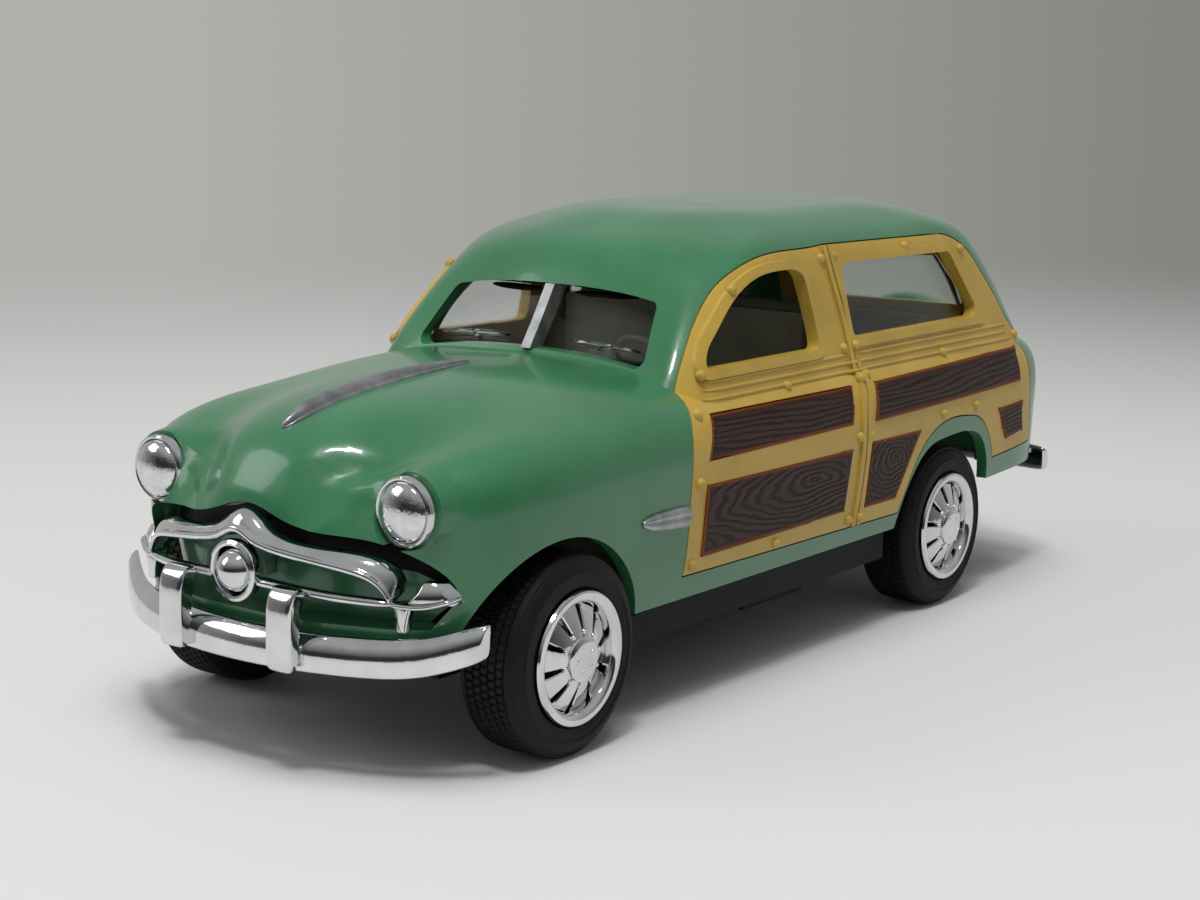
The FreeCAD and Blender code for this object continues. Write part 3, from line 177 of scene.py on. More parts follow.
def grainPrint(name, middle, stretch):
    material, tree, shader = newMaterial(name, Roughness=0.5, Specular_IOR_Level=0.25)
    place = addNode(tree, "ShaderNodeTexCoord")
    centred = addNode(tree, "ShaderNodeMapping",
                      {"Location": (0, -middle[0] * mm / stretch, -middle[1] * mm),
                       "Scale": (0, 1 / stretch, 1)}, {"Vector": (place, "Object")})
    sway = addNode(tree, "ShaderNodeTexNoise",
                   {"Scale": 1 / (printed["swaySize"] * mm), "Detail": 4.0},
                   {"Vector": (centred, "Vector")})
    reach = addNode(tree, "ShaderNodeVectorMath", {"operation": "LENGTH"},
                    {0: (centred, "Vector")})
    bent = addNode(tree, "ShaderNodeMath", {"operation": "MULTIPLY_ADD",
                                            1: printed["sway"] * mm},
                   {0: (sway, "Fac"), 2: (reach, "Value")})
    turns = addNode(tree, "ShaderNodeMath", {"operation": "MULTIPLY",
                                             1: 2 * math.pi / (printed["pitch"] * mm)},
                    {0: (bent, 0)})
    wave = addNode(tree, "ShaderNodeMath", {"operation": "SINE"}, {0: (turns, 0)})
    grit = addNode(tree, "ShaderNodeTexNoise",
                   {"Scale": 1 / (printed["gritSize"] * mm), "Detail": 2.0},
                   {"Vector": (place, "Object")})
    uneven = addNode(tree, "ShaderNodeMath", {"operation": "MULTIPLY_ADD", 1: printed["grit"]},
                     {0: (grit, "Fac"), 2: (wave, 0)})
    ink = addNode(tree, "ShaderNodeMapRange", {"From Min": printed["inkFrom"],
                                               "From Max": printed["inkTo"]},
                  {"Value": (uneven, 0)})
    lines = addNode(tree, "ShaderNodeValToRGB",
                    {"stops": printed["lines"]}, {"Fac": (ink, "Result")})
    edge = addNode(tree, "ShaderNodeAttribute", {"attribute_name": "edgeDistance"})
    border = addNode(tree, "ShaderNodeValToRGB",
                     {"stops": printed["border"]}, {"Fac": (edge, "Fac")})
    band = addNode(tree, "ShaderNodeMapRange", {"From Min": printed["borderFrom"],
                                                "From Max": printed["borderTo"]},
                   {"Value": (edge, "Fac")})
    colour = addNode(tree, "ShaderNodeMix", {"data_type": "RGBA"},
                     {0: (band, "Result"), 6: (border, "Color"), 7: (lines, "Color")})
    relief = addNode(tree, "ShaderNodeBump", {"Strength": 1.0, "Distance": printed["depth"] * mm},
                     {"Height": (uneven, 0)})
    tree.links.new(colour.outputs[2], shader.inputs["Base Color"])
    tree.links.new(relief.outputs["Normal"], shader.inputs["Normal"])
    return material


straightGrain = grainPrint("printedStraightGrain", (10, 31), 9.0)
frontFlameGrain = grainPrint("printedFlameGrainFront", (-1.5, 18.7), 4.6)
rearFlameGrain = grainPrint("printedFlameGrainRear", (15.5, 18.6), 2.1)

slotLooks = {
    "green_enamel": greenEnamel, "tan_plastic": tanPlastic, "brown_print": straightGrain,
    "clear_plastic": clearPlastic, "plated_plastic": platedPlastic, "silver_paint": silverPaint,
    "black_rubber": blackRubber, "steel_rod": steelRod, "black_plastic": blackPlastic,
    "cream_plastic": creamShadedPlastic, "red_plastic": redPaint,
}
for row in frame["record"]["subparts"]:
    setLook(nodes[row["node"]], slotLooks[row["material_slot"]])
print("looks on the CAD nodes")


# Helpers for shapes. Lengths are in mm and made metres as points are set.

mergeWithin = {"grid": 0.002, "node": 0.003}


def makeActive(piece):
    bpy.ops.object.select_all(action="DESELECT")
    piece.select_set(True)
    bpy.context.view_layer.objects.active = piece


def editPiece(piece):
    makeActive(piece)
    bpy.ops.object.mode_set(mode="EDIT")
    bpy.ops.mesh.select_all(action="SELECT")


def leaveEdit():
    bpy.ops.object.mode_set(mode="OBJECT")


def applied(piece, kind, **settings):
    makeActive(piece)
    modifier = piece.modifiers.new("shaping", kind)
    for key, value in settings.items():
        setattr(modifier, key, value)
    bpy.ops.object.modifier_apply(modifier=modifier.name)
    return piece


# A grid primitive with its rows of points pulled into place, seams merged, ends filled
def shapedGrid(rows, capped=False, level=0):
    bpy.ops.object.select_all(action="DESELECT")
    bpy.ops.mesh.primitive_grid_add(x_subdivisions=len(rows[0]) - 1,
                                    y_subdivisions=len(rows) - 1)
    piece = bpy.context.object
    for vertex, spot in zip(piece.data.vertices, [spot for row in rows for spot in row]):
        vertex.co = Vector(spot) * mm
    editPiece(piece)
    bpy.ops.mesh.remove_doubles(threshold=mergeWithin["grid"] * mm)
    if capped:
        bpy.ops.mesh.fill_holes(sides=0)
    bpy.ops.mesh.normals_make_consistent(inside=False)
    leaveEdit()
    if level:
        applied(piece, "SUBSURF", levels=level, render_levels=level)
    return piece


# A solid bar through rows of points, each row one closed section of it
def barPiece(rows, level=0):
    return shapedGrid([row + [row[0]] for row in rows], capped=True, level=level)


# A profile of (distance along the axis, radius) turned about X or Y
def turnedPiece(profile, centre, axis, steps):
    rows = []
    for step in range(steps + 1):
        angle = 2 * math.pi * (step % steps) / steps
        row = []
        for along, radius in profile:
            wide, high = radius * math.cos(angle), radius * math.sin(angle)
            offset = (along, wide, high) if axis == "X" else (wide, along, high)
            row.append([c + o for c, o in zip(centre, offset)])
        rows.append(row)
    return shapedGrid(rows)


def joined(pieces):
    makeActive(pieces[0])
    for piece in pieces:
        piece.select_set(True)
    bpy.ops.object.join()
    return bpy.context.object


mirrorX = Matrix.Scale(-1, 4, (1, 0, 0))


def placedCopy(piece, matrix):
    twin = piece.copy()
    twin.data = piece.data.copy()
    twin.data.transform(matrix)
    if matrix.determinant() < 0:
        twin.data.flip_normals()
    bpy.context.scene.collection.objects.link(twin)
    return twin


# The slot's own material goes on, unless the piece has a look of its own
def finishPiece(piece, name, slot, replaced=(), body="car", look=None, angle=35):
    piece.name = name
    piece.data.name = name
    makeActive(piece)
    bpy.ops.object.transform_apply(location=True, rotation=True, scale=True)
    setLook(piece, look or slotLooks[slot])
    bpy.ops.object.shade_smooth_by_angle(angle=math.radians(angle))
    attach(piece, body)
    if replaced:
        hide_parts(*replaced)


# The piece and its mirror image; each side replaces the node of its own side
def bothSides(piece, name, slot, replaced=None, body="car", look=None, angle=35):
    twin = placedCopy(piece, mirrorX)
    for side, item in (("left", piece), ("right", twin)):
        finishPiece(item, name + side.title(), slot, (replaced + "_" + side,) if replaced else (),
                    body, look, angle)


# Starts and directions of lines cast at the car: from its left, from above and from ahead
besideCar, aboveCar, aheadOfCar = 40, 60, -120
inwards, downwards, rearwards = (-1, 0, 0), (0, 0, -1), (0, 1, 0)

surfaces = {name: BVHTree.FromPolygons([vertex.co / mm for vertex in nodes[name].data.vertices],
                                       [face.vertices for face in nodes[name].data.polygons])
            for name in ("body_shell", "wood_side_left", "grain_fields_left", "windshield")}


# The first point of some CAD nodes that a line from outside meets, and the outward normal
def castOn(names, start, direction):
    hits = [surfaces[name].ray_cast(Vector(start), Vector(direction)) for name in names]
    hits = [hit for hit in hits if hit[0] is not None]
    if not hits:
        return None
    spot, normal, face, reach = min(hits, key=lambda hit: hit[3])
    return spot, normal if normal.dot(Vector(direction)) < 0 else -normal


# Section of a strip, as (share of half width, share of height), and its narrowing at the ends
stripSection = ((-1, -0.6), (-0.9, 0.35), (-0.45, 0.9), (0, 1), (0.45, 0.9), (0.9, 0.35),
                (1, -0.6))
stripEndShare = 0.35


# A raised, rounded strip that follows a surface, from the starts of lines cast at it
def surfaceStrip(names, path, direction, halfWidth, height):
    spots = [castOn(names, start, direction) for start in path]
    spots = [spot for spot in spots if spot]
    rows = []
    for index, (spot, normal) in enumerate(spots):
        ahead = spots[min(index + 1, len(spots) - 1)][0]
        behind = spots[max(index - 1, 0)][0]
        side = normal.cross(ahead - behind).normalized()
        share = stripEndShare if index in (0, len(spots) - 1) else 1.0
        rows.append([spot + side * (across * halfWidth * share) + normal * (up * height)
                     for across, up in stripSection])
    return barPiece(rows, level=1)


# A merged copy of a CAD node, to be reshaped in edit mode
def mergedCopy(name):
    piece = placedCopy(nodes[name], Matrix.Identity(4))
    editPiece(piece)
    bpy.ops.mesh.remove_doubles(threshold=mergeWithin["node"] * mm)
    leaveEdit()
    if piece.data.has_custom_normals:
        bpy.ops.mesh.customdata_custom_splitnormals_clear()
    return piece


# Edit mode with the points selected that a test on their place picks
def editPoints(piece, wanted):
    editPiece(piece)
    bpy.ops.mesh.select_all(action="DESELECT")
    leaveEdit()
    for vertex in piece.data.vertices:
        vertex.select = wanted(vertex.co / mm)
    bpy.ops.object.mode_set(mode="EDIT")


# Shell: the roof's crown is raised a little and its flat pressed down into it. The nose is
# pushed in beside the bonnet with a soft falloff, so that both lamps stand free.

shell = {"crownFoot": 43.0, "crownLift": 1.1, "flatFoot": 44.3, "flatSquash": 0.2,
         "hollow": (9.6, -56.2, 24.4), "hollowGrip": 1.4, "hollowReach": 5.2, "hollowDepth": 1.7}


def resizeAbove(piece, height, factor):
    editPoints(piece, lambda spot: spot.z > height)
    bpy.ops.transform.resize(value=(1, 1, factor), center_override=(0, 0, height * mm))
    leaveEdit()


def pushIn(piece, place):
    editPoints(piece, lambda spot: (spot - Vector(place)).length < shell["hollowGrip"])
    bpy.ops.transform.translate(value=(0, shell["hollowDepth"] * mm, 0),
                                use_proportional_edit=True,
                                proportional_edit_falloff="SMOOTH",
                                proportional_size=shell["hollowReach"] * mm)
    leaveEdit()


skin = mergedCopy("body_shell")
resizeAbove(skin, shell["crownFoot"], shell["crownLift"])
resizeAbove(skin, shell["flatFoot"], shell["flatSquash"])
for side in (-1, 1):
    across, along, high = shell["hollow"]
    pushIn(skin, (side * across, along, high))
finishPiece(skin, "bodySkin", "green_enamel", ("body_shell",), angle=32)
print("body skin")


# Tyres: a closed section with a slotted, ribbed tread and a ring on the side wall

tyre = {"blocks": 76, "blockSteps": 4, "slotDepth": 0.16, "grooveDepth": 0.24, "radius": 8.9,
        "setBack": 0.9, "ribs": 5, "ribStart": -1.38, "ribWidth": 0.6, "ribPitch": 0.8,
        "ribShift": 2, "grooveStart": 0.65, "grooveEnd": 0.75}


# Points of the section as (along the axle, radius, rib), with None for those on no rib
def tyreProfile():
    points = [(-0.55, 5.92, None), (-0.15, 6.15, None), (0.0, 6.6, None), (0.0, 7.2, None),
              (0.09, 7.28, None), (0.09, 7.5, None), (-0.04, 7.58, None), (-0.2, 8.05, None),
              (-0.42, 8.4, None), (-0.62, 8.52, None), (-0.66, 8.7, None), (-0.95, 8.84, None),
              (-1.2, 8.86, None), (-1.28, 8.6, None)]
    groove = tyre["radius"] - tyre["grooveDepth"]
    for rib in range(tyre["ribs"]):
        start = tyre["ribStart"] - rib * tyre["ribPitch"]
        points += [(start, tyre["radius"], rib), (start - tyre["ribWidth"], tyre["radius"], rib),
                   (start - tyre["grooveStart"], groove, None),
                   (start - tyre["grooveEnd"], groove, None)]
    points += [(-5.42, 8.86, None), (-5.75, 8.82, None), (-6.1, 8.5, None), (-6.45, 7.9, None),
               (-6.6, 7.0, None), (-6.5, 6.2, None), (-6.1, 5.92, None), (-0.55, 5.92, None)]
    return points


# The last step of each block is cut as a slot, and the blocks shift from rib to rib
def makeTyre(face):
    steps = tyre["blocks"] * tyre["blockSteps"]
    last = tyre["blockSteps"] - 1
    rows = []
    for step in range(steps + 1):
        angle = 2 * math.pi * (step % steps) / steps
        row = []
        for along, radius, rib in tyreProfile():
            if rib is not None and (step + rib * tyre["ribShift"]) % tyre["blockSteps"] == last:
                radius -= tyre["slotDepth"]
            row.append((face - tyre["setBack"] + along, radius * math.cos(angle),
                        radius * math.sin(angle)))
        rows.append(row)
    return shapedGrid(rows)


# Wheels: a broad plated lip, ten flat petals with narrow slots, and a proud hub with studs

wheel = {"lip": -0.55, "petals": 10, "petalStudRadius": 2.35, "petalStudBack": 0.12,
         "petalStud": 0.26, "petalStudHeight": 0.22, "studs": 5, "studRadius": 1.1,
         "studAhead": 0.38, "stud": 0.14, "studHeight": 0.12, "studTurn": 0.3}


def domes(count, radius, turn, place, size, height):
    profile = [(-size, size * 0.98), (0, size), (height * 0.6, size * 0.75), (height, 0)]
    copies = []
    for index in range(count):
        angle = 2 * math.pi * (index + turn) / count
        centre = (place, radius * math.cos(angle), radius * math.sin(angle))
        copies.append(turnedPiece(profile, centre, "X", steps=12))
    return copies


# A petal's section, as (depth, share of half width), at stops of (radius, half width, front)
petalSection = ((-0.9, -1), (-0.12, -1), (0, -0.88), (0.06, 0), (0, 0.88), (-0.12, 1), (-0.9, 1))
petalStops = ((1.7, 0.5, 0.02), (2.2, 0.6, -0.08), (2.8, 0.72, -0.28), (3.5, 0.88, -0.55),
              (4.2, 1.05, -0.85), (4.62, 1.14, -1.05), (4.74, 1.1, -1.3))


def makeWheel(face):
    lip = face + wheel["lip"]
    rim = turnedPiece([(-6.7, 5.9), (-0.75, 5.9), (-0.3, 5.96), (-0.08, 5.86), (0.0, 5.6),
                       (-0.04, 5.3), (-0.2, 5.02), (-0.5, 4.85), (-1.0, 4.76), (-1.9, 4.7),
                       (-2.6, 4.66), (-6.7, 4.6), (-6.7, 5.9)], (lip, 0, 0), "X", steps=96)
    hub = turnedPiece([(0.38, 0), (0.4, 1.2), (0.36, 1.75), (0.2, 2.0), (-0.15, 2.1),
                       (-2.6, 2.1), (-2.6, 0)], (lip, 0, 0), "X", steps=48)
    petal = barPiece([[(lip + front + depth, half * across, radius)
                       for depth, across in petalSection] for radius, half, front in petalStops])
    pieces = [rim, hub, petal]
    for index in range(1, wheel["petals"]):
        turn = 2 * math.pi * index / wheel["petals"]
        pieces.append(placedCopy(petal, Matrix.Rotation(turn, 4, "X")))
    pieces += domes(wheel["petals"], wheel["petalStudRadius"], 0, lip - wheel["petalStudBack"],
                    wheel["petalStud"], wheel["petalStudHeight"])
    pieces += domes(wheel["studs"], wheel["studRadius"], wheel["studTurn"],
                    lip + wheel["studAhead"], wheel["stud"], wheel["studHeight"])
    return joined(pieces)


# Each axle's place and the outer face of its tyres; the turn keeps the wheels from looking alike
axles = {"height": 8.92, "front": {"face": 22.74, "y": -40.0, "turn": 0.2},
         "rear": {"face": 21.67, "y": 29.4, "turn": 0.45}}
for end in ("front", "rear"):
    axle = axles[end]
    for kind, maker, slot in (("tyre", makeTyre, "black_rubber"),
                              ("wheel", makeWheel, "plated_plastic")):
        piece = maker(axle["face"])
        piece.data.transform(Matrix.Translation((0, axle["y"] * mm, axles["height"] * mm))
                             @ Matrix.Rotation(axle["turn"], 4, "X"))
        bothSides(piece, kind + end.title(), slot, kind + "_" + end, end + "_axle_set", angle=32)
print("tyres and wheels")


# Headlamps: a plated ring and a domed lens

headlamp = {"place": (14.4, -53.2, 22.86), "steps": 72}
ring = turnedPiece([(0.3, 2.6), (0.1, 2.86), (-0.4, 2.99), (-0.85, 3.0), (-1.12, 2.94),
                    (-1.24, 2.8), (-1.2, 2.66), (-1.05, 2.58), (-0.9, 2.56), (0.3, 2.56),
                    (0.3, 2.6)], headlamp["place"], "Y", headlamp["steps"])
bothSides(ring, "headlampRing", "plated_plastic", "headlight")
lens = turnedPiece([(-0.8, 2.55), (-1.15, 2.56), (-1.42, 2.4), (-1.72, 2.0), (-1.98, 1.4),
                    (-2.12, 0.7), (-2.15, 0)], headlamp["place"], "Y", headlamp["steps"])
bothSides(lens, "headlampLens", "plated_plastic", look=platedLens)
print("headlamps")


# Grille: an arched shelf with a rolled lip, a lower bar, an end pad with a faceted lamp and a
# post on each side, and a ringed bullet on a stem

grille = {"nose": -59.3, "sweep": 30.0, "bulletHeight": 16.7, "lampFoot": 15.3,
          "lampSeat": 15.4, "lampSetBack": 0.55, "lampBevel": 0.12, "postAcross": 14.7,
          "postDepth": 1.1, "postSetBack": 0.45, "postBevel": 0.18, "stemHalf": 0.55,
          "stemFoot": 15.8, "stemTop": 20.6, "stemAlong": (-57.6, -54.9)}


def arcY(x, nose, sweep):
    return nose + sweep - math.sqrt(sweep * sweep - x * x)


def grilleFront(x):
    return arcY(x, grille["nose"], grille["sweep"])


# Stops from the middle to one end, mirrored to run from end to end
def bothWays(stops):
    return [(-stop[0],) + tuple(stop[1:]) for stop in reversed(stops[1:])] + list(stops)


def shelfRow(x, lip, back):
    y = grilleFront(x)
    lift = back - lip
    return [(x, y + 0.15, lip - 0.42), (x, y - 0.1, lip - 0.1), (x, y + 0.05, lip + 0.25),
            (x, y + 0.32, lip + 0.2), (x, y + 0.55, lip + 0.3 + lift * 0.35),
            (x, y + 1.1, lip + 0.35 + lift * 0.75), (x, y + 1.9, back + 0.22),
            (x, y + 2.5, back), (x, y + 2.5, back - 0.6), (x, y + 1.5, back - 1.0),
            (x, y + 0.6, lip - 0.5)]


def lowerRow(x, z):
    y = grilleFront(x)
    return [(x, y - 0.1, z), (x, y + 0.1, z + 0.42), (x, y + 1.2, z + 0.45),
            (x, y + 1.3, z - 0.3), (x, y + 0.1, z - 0.42)]


def padRow(x, z):
    y = grilleFront(x)
    return [(x, y, z - 0.05), (x, y + 0.1, z + 0.26), (x, y + 2.4, z + 0.3),
            (x, y + 2.5, z - 0.3), (x, y + 0.12, z - 0.36)]


def padLampRow(x, peak):
    y = grilleFront(x) + grille["lampSetBack"]
    foot, seat = grille["lampFoot"], grille["lampSeat"]
    return [(x, y, foot), (x, y + 0.1, seat + peak * 0.5), (x, y + 0.75, seat + peak),
            (x, y + 1.5, seat + peak), (x, y + 1.6, foot)]


def postRow(z, half):
    x = grille["postAcross"]
    y = grilleFront(x) + grille["postSetBack"]
    depth = grille["postDepth"]
    return [(x - half, y, z), (x + half, y, z), (x + half, y + depth, z), (x - half, y + depth, z)]


def bevelled(piece, width):
    return applied(piece, "BEVEL", width=width * mm, segments=2, limit_method="ANGLE")


# Stops of the shelf as (across, height of its lip, height of its back), of the lower bar and
# the pad as (across, height), of the pad's lamp as (across, peak) and of the post as
# (height, half width)
shelfStops = ((0, 20.4, 21.8), (0.9, 20.15, 21.6), (1.8, 19.6, 21.0), (2.8, 19.25, 20.2),
              (4.2, 19.0, 19.7), (6, 18.75, 19.35), (9, 18.35, 19.15), (11.5, 17.95, 19.0),
              (12.8, 17.45, 18.65), (13.6, 16.7, 18.1), (14.0, 16.0, 17.4), (14.15, 15.5, 16.6))
lowerStops = ((0, 16.05), (3.5, 16.0), (7.4, 15.65), (11, 15.45), (14.6, 15.3))
padStops = ((13.7, 15.35), (15.2, 15.2), (16.4, 15.15), (17.6, 15.5), (18.5, 15.85))
padLampStops = ((15.2, 0.25), (15.9, 1.75), (17.5, 1.7), (18.3, 0.4))
postStops = ((12.95, 0.42), (14.0, 0.5), (15.2, 0.75))

shelf = barPiece([shelfRow(*stop) for stop in bothWays(shelfStops)], level=2)
lowerBar = barPiece([lowerRow(*stop) for stop in bothWays(lowerStops)], level=2)
pad = barPiece([padRow(*stop) for stop in padStops], level=2)
padLamp = bevelled(barPiece([padLampRow(*stop) for stop in padLampStops]), grille["lampBevel"])
post = bevelled(barPiece([postRow(*stop) for stop in postStops]), grille["postBevel"])
leftEnd = joined([pad, padLamp, post])
rightEnd = placedCopy(leftEnd, mirrorX)
bulletPlace = (0, grille["nose"], grille["bulletHeight"])
bulletRing = turnedPiece([(1.4, 2.1), (1.0, 2.55), (0.3, 2.72), (-0.1, 2.62), (-0.28, 2.36),
                          (-0.2, 2.16), (0.2, 2.06), (1.4, 2.04), (1.4, 2.1)], bulletPlace,
                         "Y", steps=56)
bullet = turnedPiece([(1.2, 0), (1.2, 2.0), (0.5, 1.95), (0.0, 1.8), (-0.55, 1.45),
                      (-0.95, 1.0), (-1.2, 0.5), (-1.28, 0)], bulletPlace, "Y", steps=48)
stemCorners = ((-grille["stemHalf"], grille["stemFoot"]), (grille["stemHalf"], grille["stemFoot"]),
               (grille["stemHalf"], grille["stemTop"]), (-grille["stemHalf"], grille["stemTop"]))
stem = barPiece([[(x, y, z) for x, z in stemCorners] for y in grille["stemAlong"]])
finishPiece(joined([shelf, lowerBar, leftEnd, rightEnd, bulletRing, bullet, stem]), "grilleBars",
            "plated_plastic", ("grille",))

# Painted shade: a black sheet in the gap between the bonnet's lip and the shelf, laid just off the
# shell, standing in for the shade of that deep gap
gapShadeSheet = {"start": -59.0, "below": 0.12, "step": 0.65, "steps": 5, "proud": 0.06}
lipStops = ((0, 22.35), (1.0, 22.2), (2.0, 21.85), (3.2, 21.45), (4.5, 21.05), (6, 20.75),
            (8, 20.45), (11, 20.25), (13.5, 20.05), (15, 19.35), (16, 18.7))
rows = []
for x, top in bothWays(lipStops):
    row = []
    for step in range(gapShadeSheet["steps"]):
        start = (x, gapShadeSheet["start"], top - gapShadeSheet["below"] - step * gapShadeSheet["step"])
        spot, normal = castOn(("body_shell",), start, rearwards)
        row.append(spot - Vector((0, gapShadeSheet["proud"], 0)))
    rows.append(row)
finishPiece(shapedGrid(rows), "bonnetGapPaintedShade", "black_plastic")
print("grille")


# Bumpers: a rolled bar on two struts at each end, and two tall overriders at the front

bumpers = {"front": {"facing": 1, "nose": -60.4, "sweep": 31.0, "foot": 9.7,
                     "strutAcross": 6.32, "strutHeight": 11.1, "strutAlong": (-59.0, -54.0)},
           "rear": {"facing": -1, "nose": -61.0, "sweep": 62.0, "foot": 11.3,
                    "strutAcross": 12.64, "strutHeight": 12.7, "strutAlong": (53.5, 58.9)},
           "middle": 1.35, "strutHalf": 0.8}
barSection = ((0.25, -0.5), (0.0, -0.2), (0.0, 0.9), (0.1, 1.5), (0.45, 2.2), (1.0, 2.72),
              (1.5, 2.85), (1.62, 2.5), (1.5, -0.1), (1.2, -0.45))  # (inwards, up)

# Stops of a bar as (across, rise, size of the section)
frontStops = ((0, 0, 1), (7, 0, 1), (12, 0, 1), (15, 0.05, 1), (17, 0.3, 1), (18.8, 0.85, 1),
              (20.2, 1.35, 0.97), (20.9, 1.62, 0.9), (21.0, 1.75, 0.8))
rearStops = ((0, 0, 1), (8, 0, 1), (15, 0, 1), (18.5, 0, 0.96), (19.4, 0, 0.85), (19.55, 0, 0.6))

# An overrider's outline as (rearwards, up) and its stops as (across, inset of the outline)
overrider = {"nose": -60.8, "lift": 0.1, "shrink": 0.15}
overOutline = ((0.0, -0.2), (0.0, 3.6), (0.1, 4.9), (0.45, 6.0), (1.2, 6.55), (2.1, 6.5),
               (2.4, 5.9), (1.9, 4.4), (1.5, 2.8), (1.5, -0.5), (0.4, -0.6))
overStops = ((4.95, 0.3), (5.08, 0.08), (5.5, 0.0), (7.1, 0.0), (7.55, 0.08), (7.7, 0.3))


# The rear bar is drawn as a front one and turned to face the other way
def bumperBar(stops, spec):
    rows = []
    for x, rise, size in bothWays(stops):
        y = arcY(x, spec["nose"], spec["sweep"])
        rows.append([(x, spec["facing"] * (y + back * size),
                      spec["foot"] + rise + bumpers["middle"] + (up - bumpers["middle"]) * size)
                     for back, up in barSection])
    return barPiece(rows, level=2)


def makeStruts(spec):
    half = bumpers["strutHalf"]
    corners = ((-half, -half), (half, -half), (half, half), (-half, half))
    return [barPiece([[(x + across, y, spec["strutHeight"] + up) for across, up in corners]
                      for y in spec["strutAlong"]])
            for x in (-spec["strutAcross"], spec["strutAcross"])]


def overRow(x, inset):
    foot = bumpers["front"]["foot"] + overrider["lift"] + inset
    return [(x, overrider["nose"] + inset + back * (1 - inset),
             foot + up * (1 - inset * overrider["shrink"])) for back, up in overOutline]


frontBar = bumperBar(frontStops, bumpers["front"])
leftOver = barPiece([overRow(*stop) for stop in overStops], level=2)
rightOver = placedCopy(leftOver, mirrorX)
finishPiece(joined([frontBar, leftOver, rightOver] + makeStruts(bumpers["front"])),
            "frontBumperBar", "plated_plastic", ("front_bumper",))
rearBar = bumperBar(rearStops, bumpers["rear"])
finishPiece(joined([rearBar] + makeStruts(bumpers["rear"])), "rearBumperBar", "plated_plastic",
            ("rear_bumper",))
print("bumpers")


# Silver spears of the bonnet and the wings. The bonnet's has a groove on each side of its ridge.

# Stops of (along, half width, height), and the section as shares of those two
bonnetStops = ((-53.3, 0.3, 0.3), (-52.4, 0.8, 0.75), (-50.5, 1.2, 1.0), (-46, 1.3, 1.05),
               (-40, 1.15, 0.95), (-34, 0.85, 0.75), (-30, 0.5, 0.5), (-28.6, 0.2, 0.25))
bonnetSection = ((-1, -0.5), (-1, 0.25), (-0.74, 0.32), (-0.66, 0.2), (-0.56, 0.62),
                 (-0.3, 0.94), (0, 1), (0.3, 0.94), (0.56, 0.62), (0.66, 0.2), (0.74, 0.32),
                 (1, 0.25), (1, -0.5))
rows = []
for y, half, height in bonnetStops:
    spot, normal = castOn(("body_shell",), (0, y, aboveCar), downwards)
    rows.append([spot + Vector((across * half, 0, 0)) + normal * (up * height)
                 for across, up in bonnetSection])
finishPiece(barPiece(rows, level=2), "bonnetSpear", "silver_paint", ("hood_ornament",))

# Stops of (along, height above the ground, half width, thickness). The shell ends at the
# insert, so the last line is cast ahead of that edge, and each a little above its stop.
wingSpear = {"lastCast": -24.2, "castAbove": 0.6}
wingStops = ((-30.3, 18.9, 0.2, 0.2), (-29.7, 18.85, 0.55, 0.5), (-28.6, 18.8, 0.85, 0.62),
             (-26.5, 18.7, 1.0, 0.65), (-24.2, 18.6, 1.08, 0.65), (-22.75, 18.55, 1.1, 0.6))
wingSection = ((-1, -0.4), (-0.95, 0.55), (-0.55, 0.9), (-0.18, 0.95), (0, 0.5), (0.18, 0.95),
               (0.6, 0.85), (0.95, 0.5), (1, -0.4))
rows = []
for y, z, half, height in wingStops:
    start = (besideCar, min(y, wingSpear["lastCast"]), z + wingSpear["castAbove"])
    spot, normal = castOn(("body_shell",), start, inwards)
    rows.append([Vector((spot.x + up * height, y, z + across * half))
                 for across, up in wingSection])
bothSides(barPiece(rows, level=2), "wingSpear", "silver_paint", "fender_spear")
print("spears")


# Grain fields: panels laid just proud of the insert's pockets, each with its own print

field = {"proud": 0.02, "thickness": 0.15, "border": 0.75, "borderSteps": 3, "columns": 24,
         "rows": 10}

# Corners as (along, height): low and top at the front, then top and low at the rear
fields = (
    (((-20.07, 23.14), (-18.57, 27.31), (7.27, 27.11), (6.35, 23.22)), straightGrain),
    (((-20.64, 14.27), (-20.21, 20.99), (6.56, 20.68), (5.56, 14.36)), frontFlameGrain),
    (((10.83, 23.05), (11.69, 27.0), (45.58, 27.37), (45.86, 23.45)), straightGrain),
    (((9.77, 14.07), (10.48, 20.97), (21.16, 20.88), (16.39, 14.07)), rearFlameGrain),
    (((42.8, 16.99), (40.1, 20.85), (46.72, 20.99), (47.57, 17.42)), straightGrain),
)


# Distances from one edge of a field to the other, close together in its borders
def fieldSteps(reach, count):
    border, parts = field["border"], field["borderSteps"]
    inner = [border + (reach - 2 * border) * step / count for step in range(count + 1)]
    return ([border * part / parts for part in range(parts)] + inner
            + [reach - border * part / parts for part in reversed(range(parts))])


def fieldPiece(corners):
    frontLow, frontTop, rearTop, rearLow = [Vector((0, y, z)) for y, z in corners]
    length = (rearLow - frontLow).length
    rise = (frontTop - frontLow).length
    rows = []
    distances = []
    for v in fieldSteps(rise, field["rows"]):
        row = []
        for u in fieldSteps(length, field["columns"]):
            low = frontLow.lerp(rearLow, u / length)
            top = frontTop.lerp(rearTop, u / length)
            flat = low.lerp(top, v / rise)
            spot, normal = castOn(("grain_fields_left", "wood_side_left"),
                                  (besideCar, flat.y, flat.z), inwards)
            row.append(Vector((spot.x + field["proud"], flat.y, flat.z)))
            distances.append(min(u, length - u, v, rise - v))
        rows.append(row)
    piece = shapedGrid(rows)
    mark = piece.data.attributes.new("edgeDistance", "FLOAT", "POINT")
    mark.data.foreach_set("value", distances)
    return applied(piece, "SOLIDIFY", thickness=field["thickness"] * mm, offset=-1)


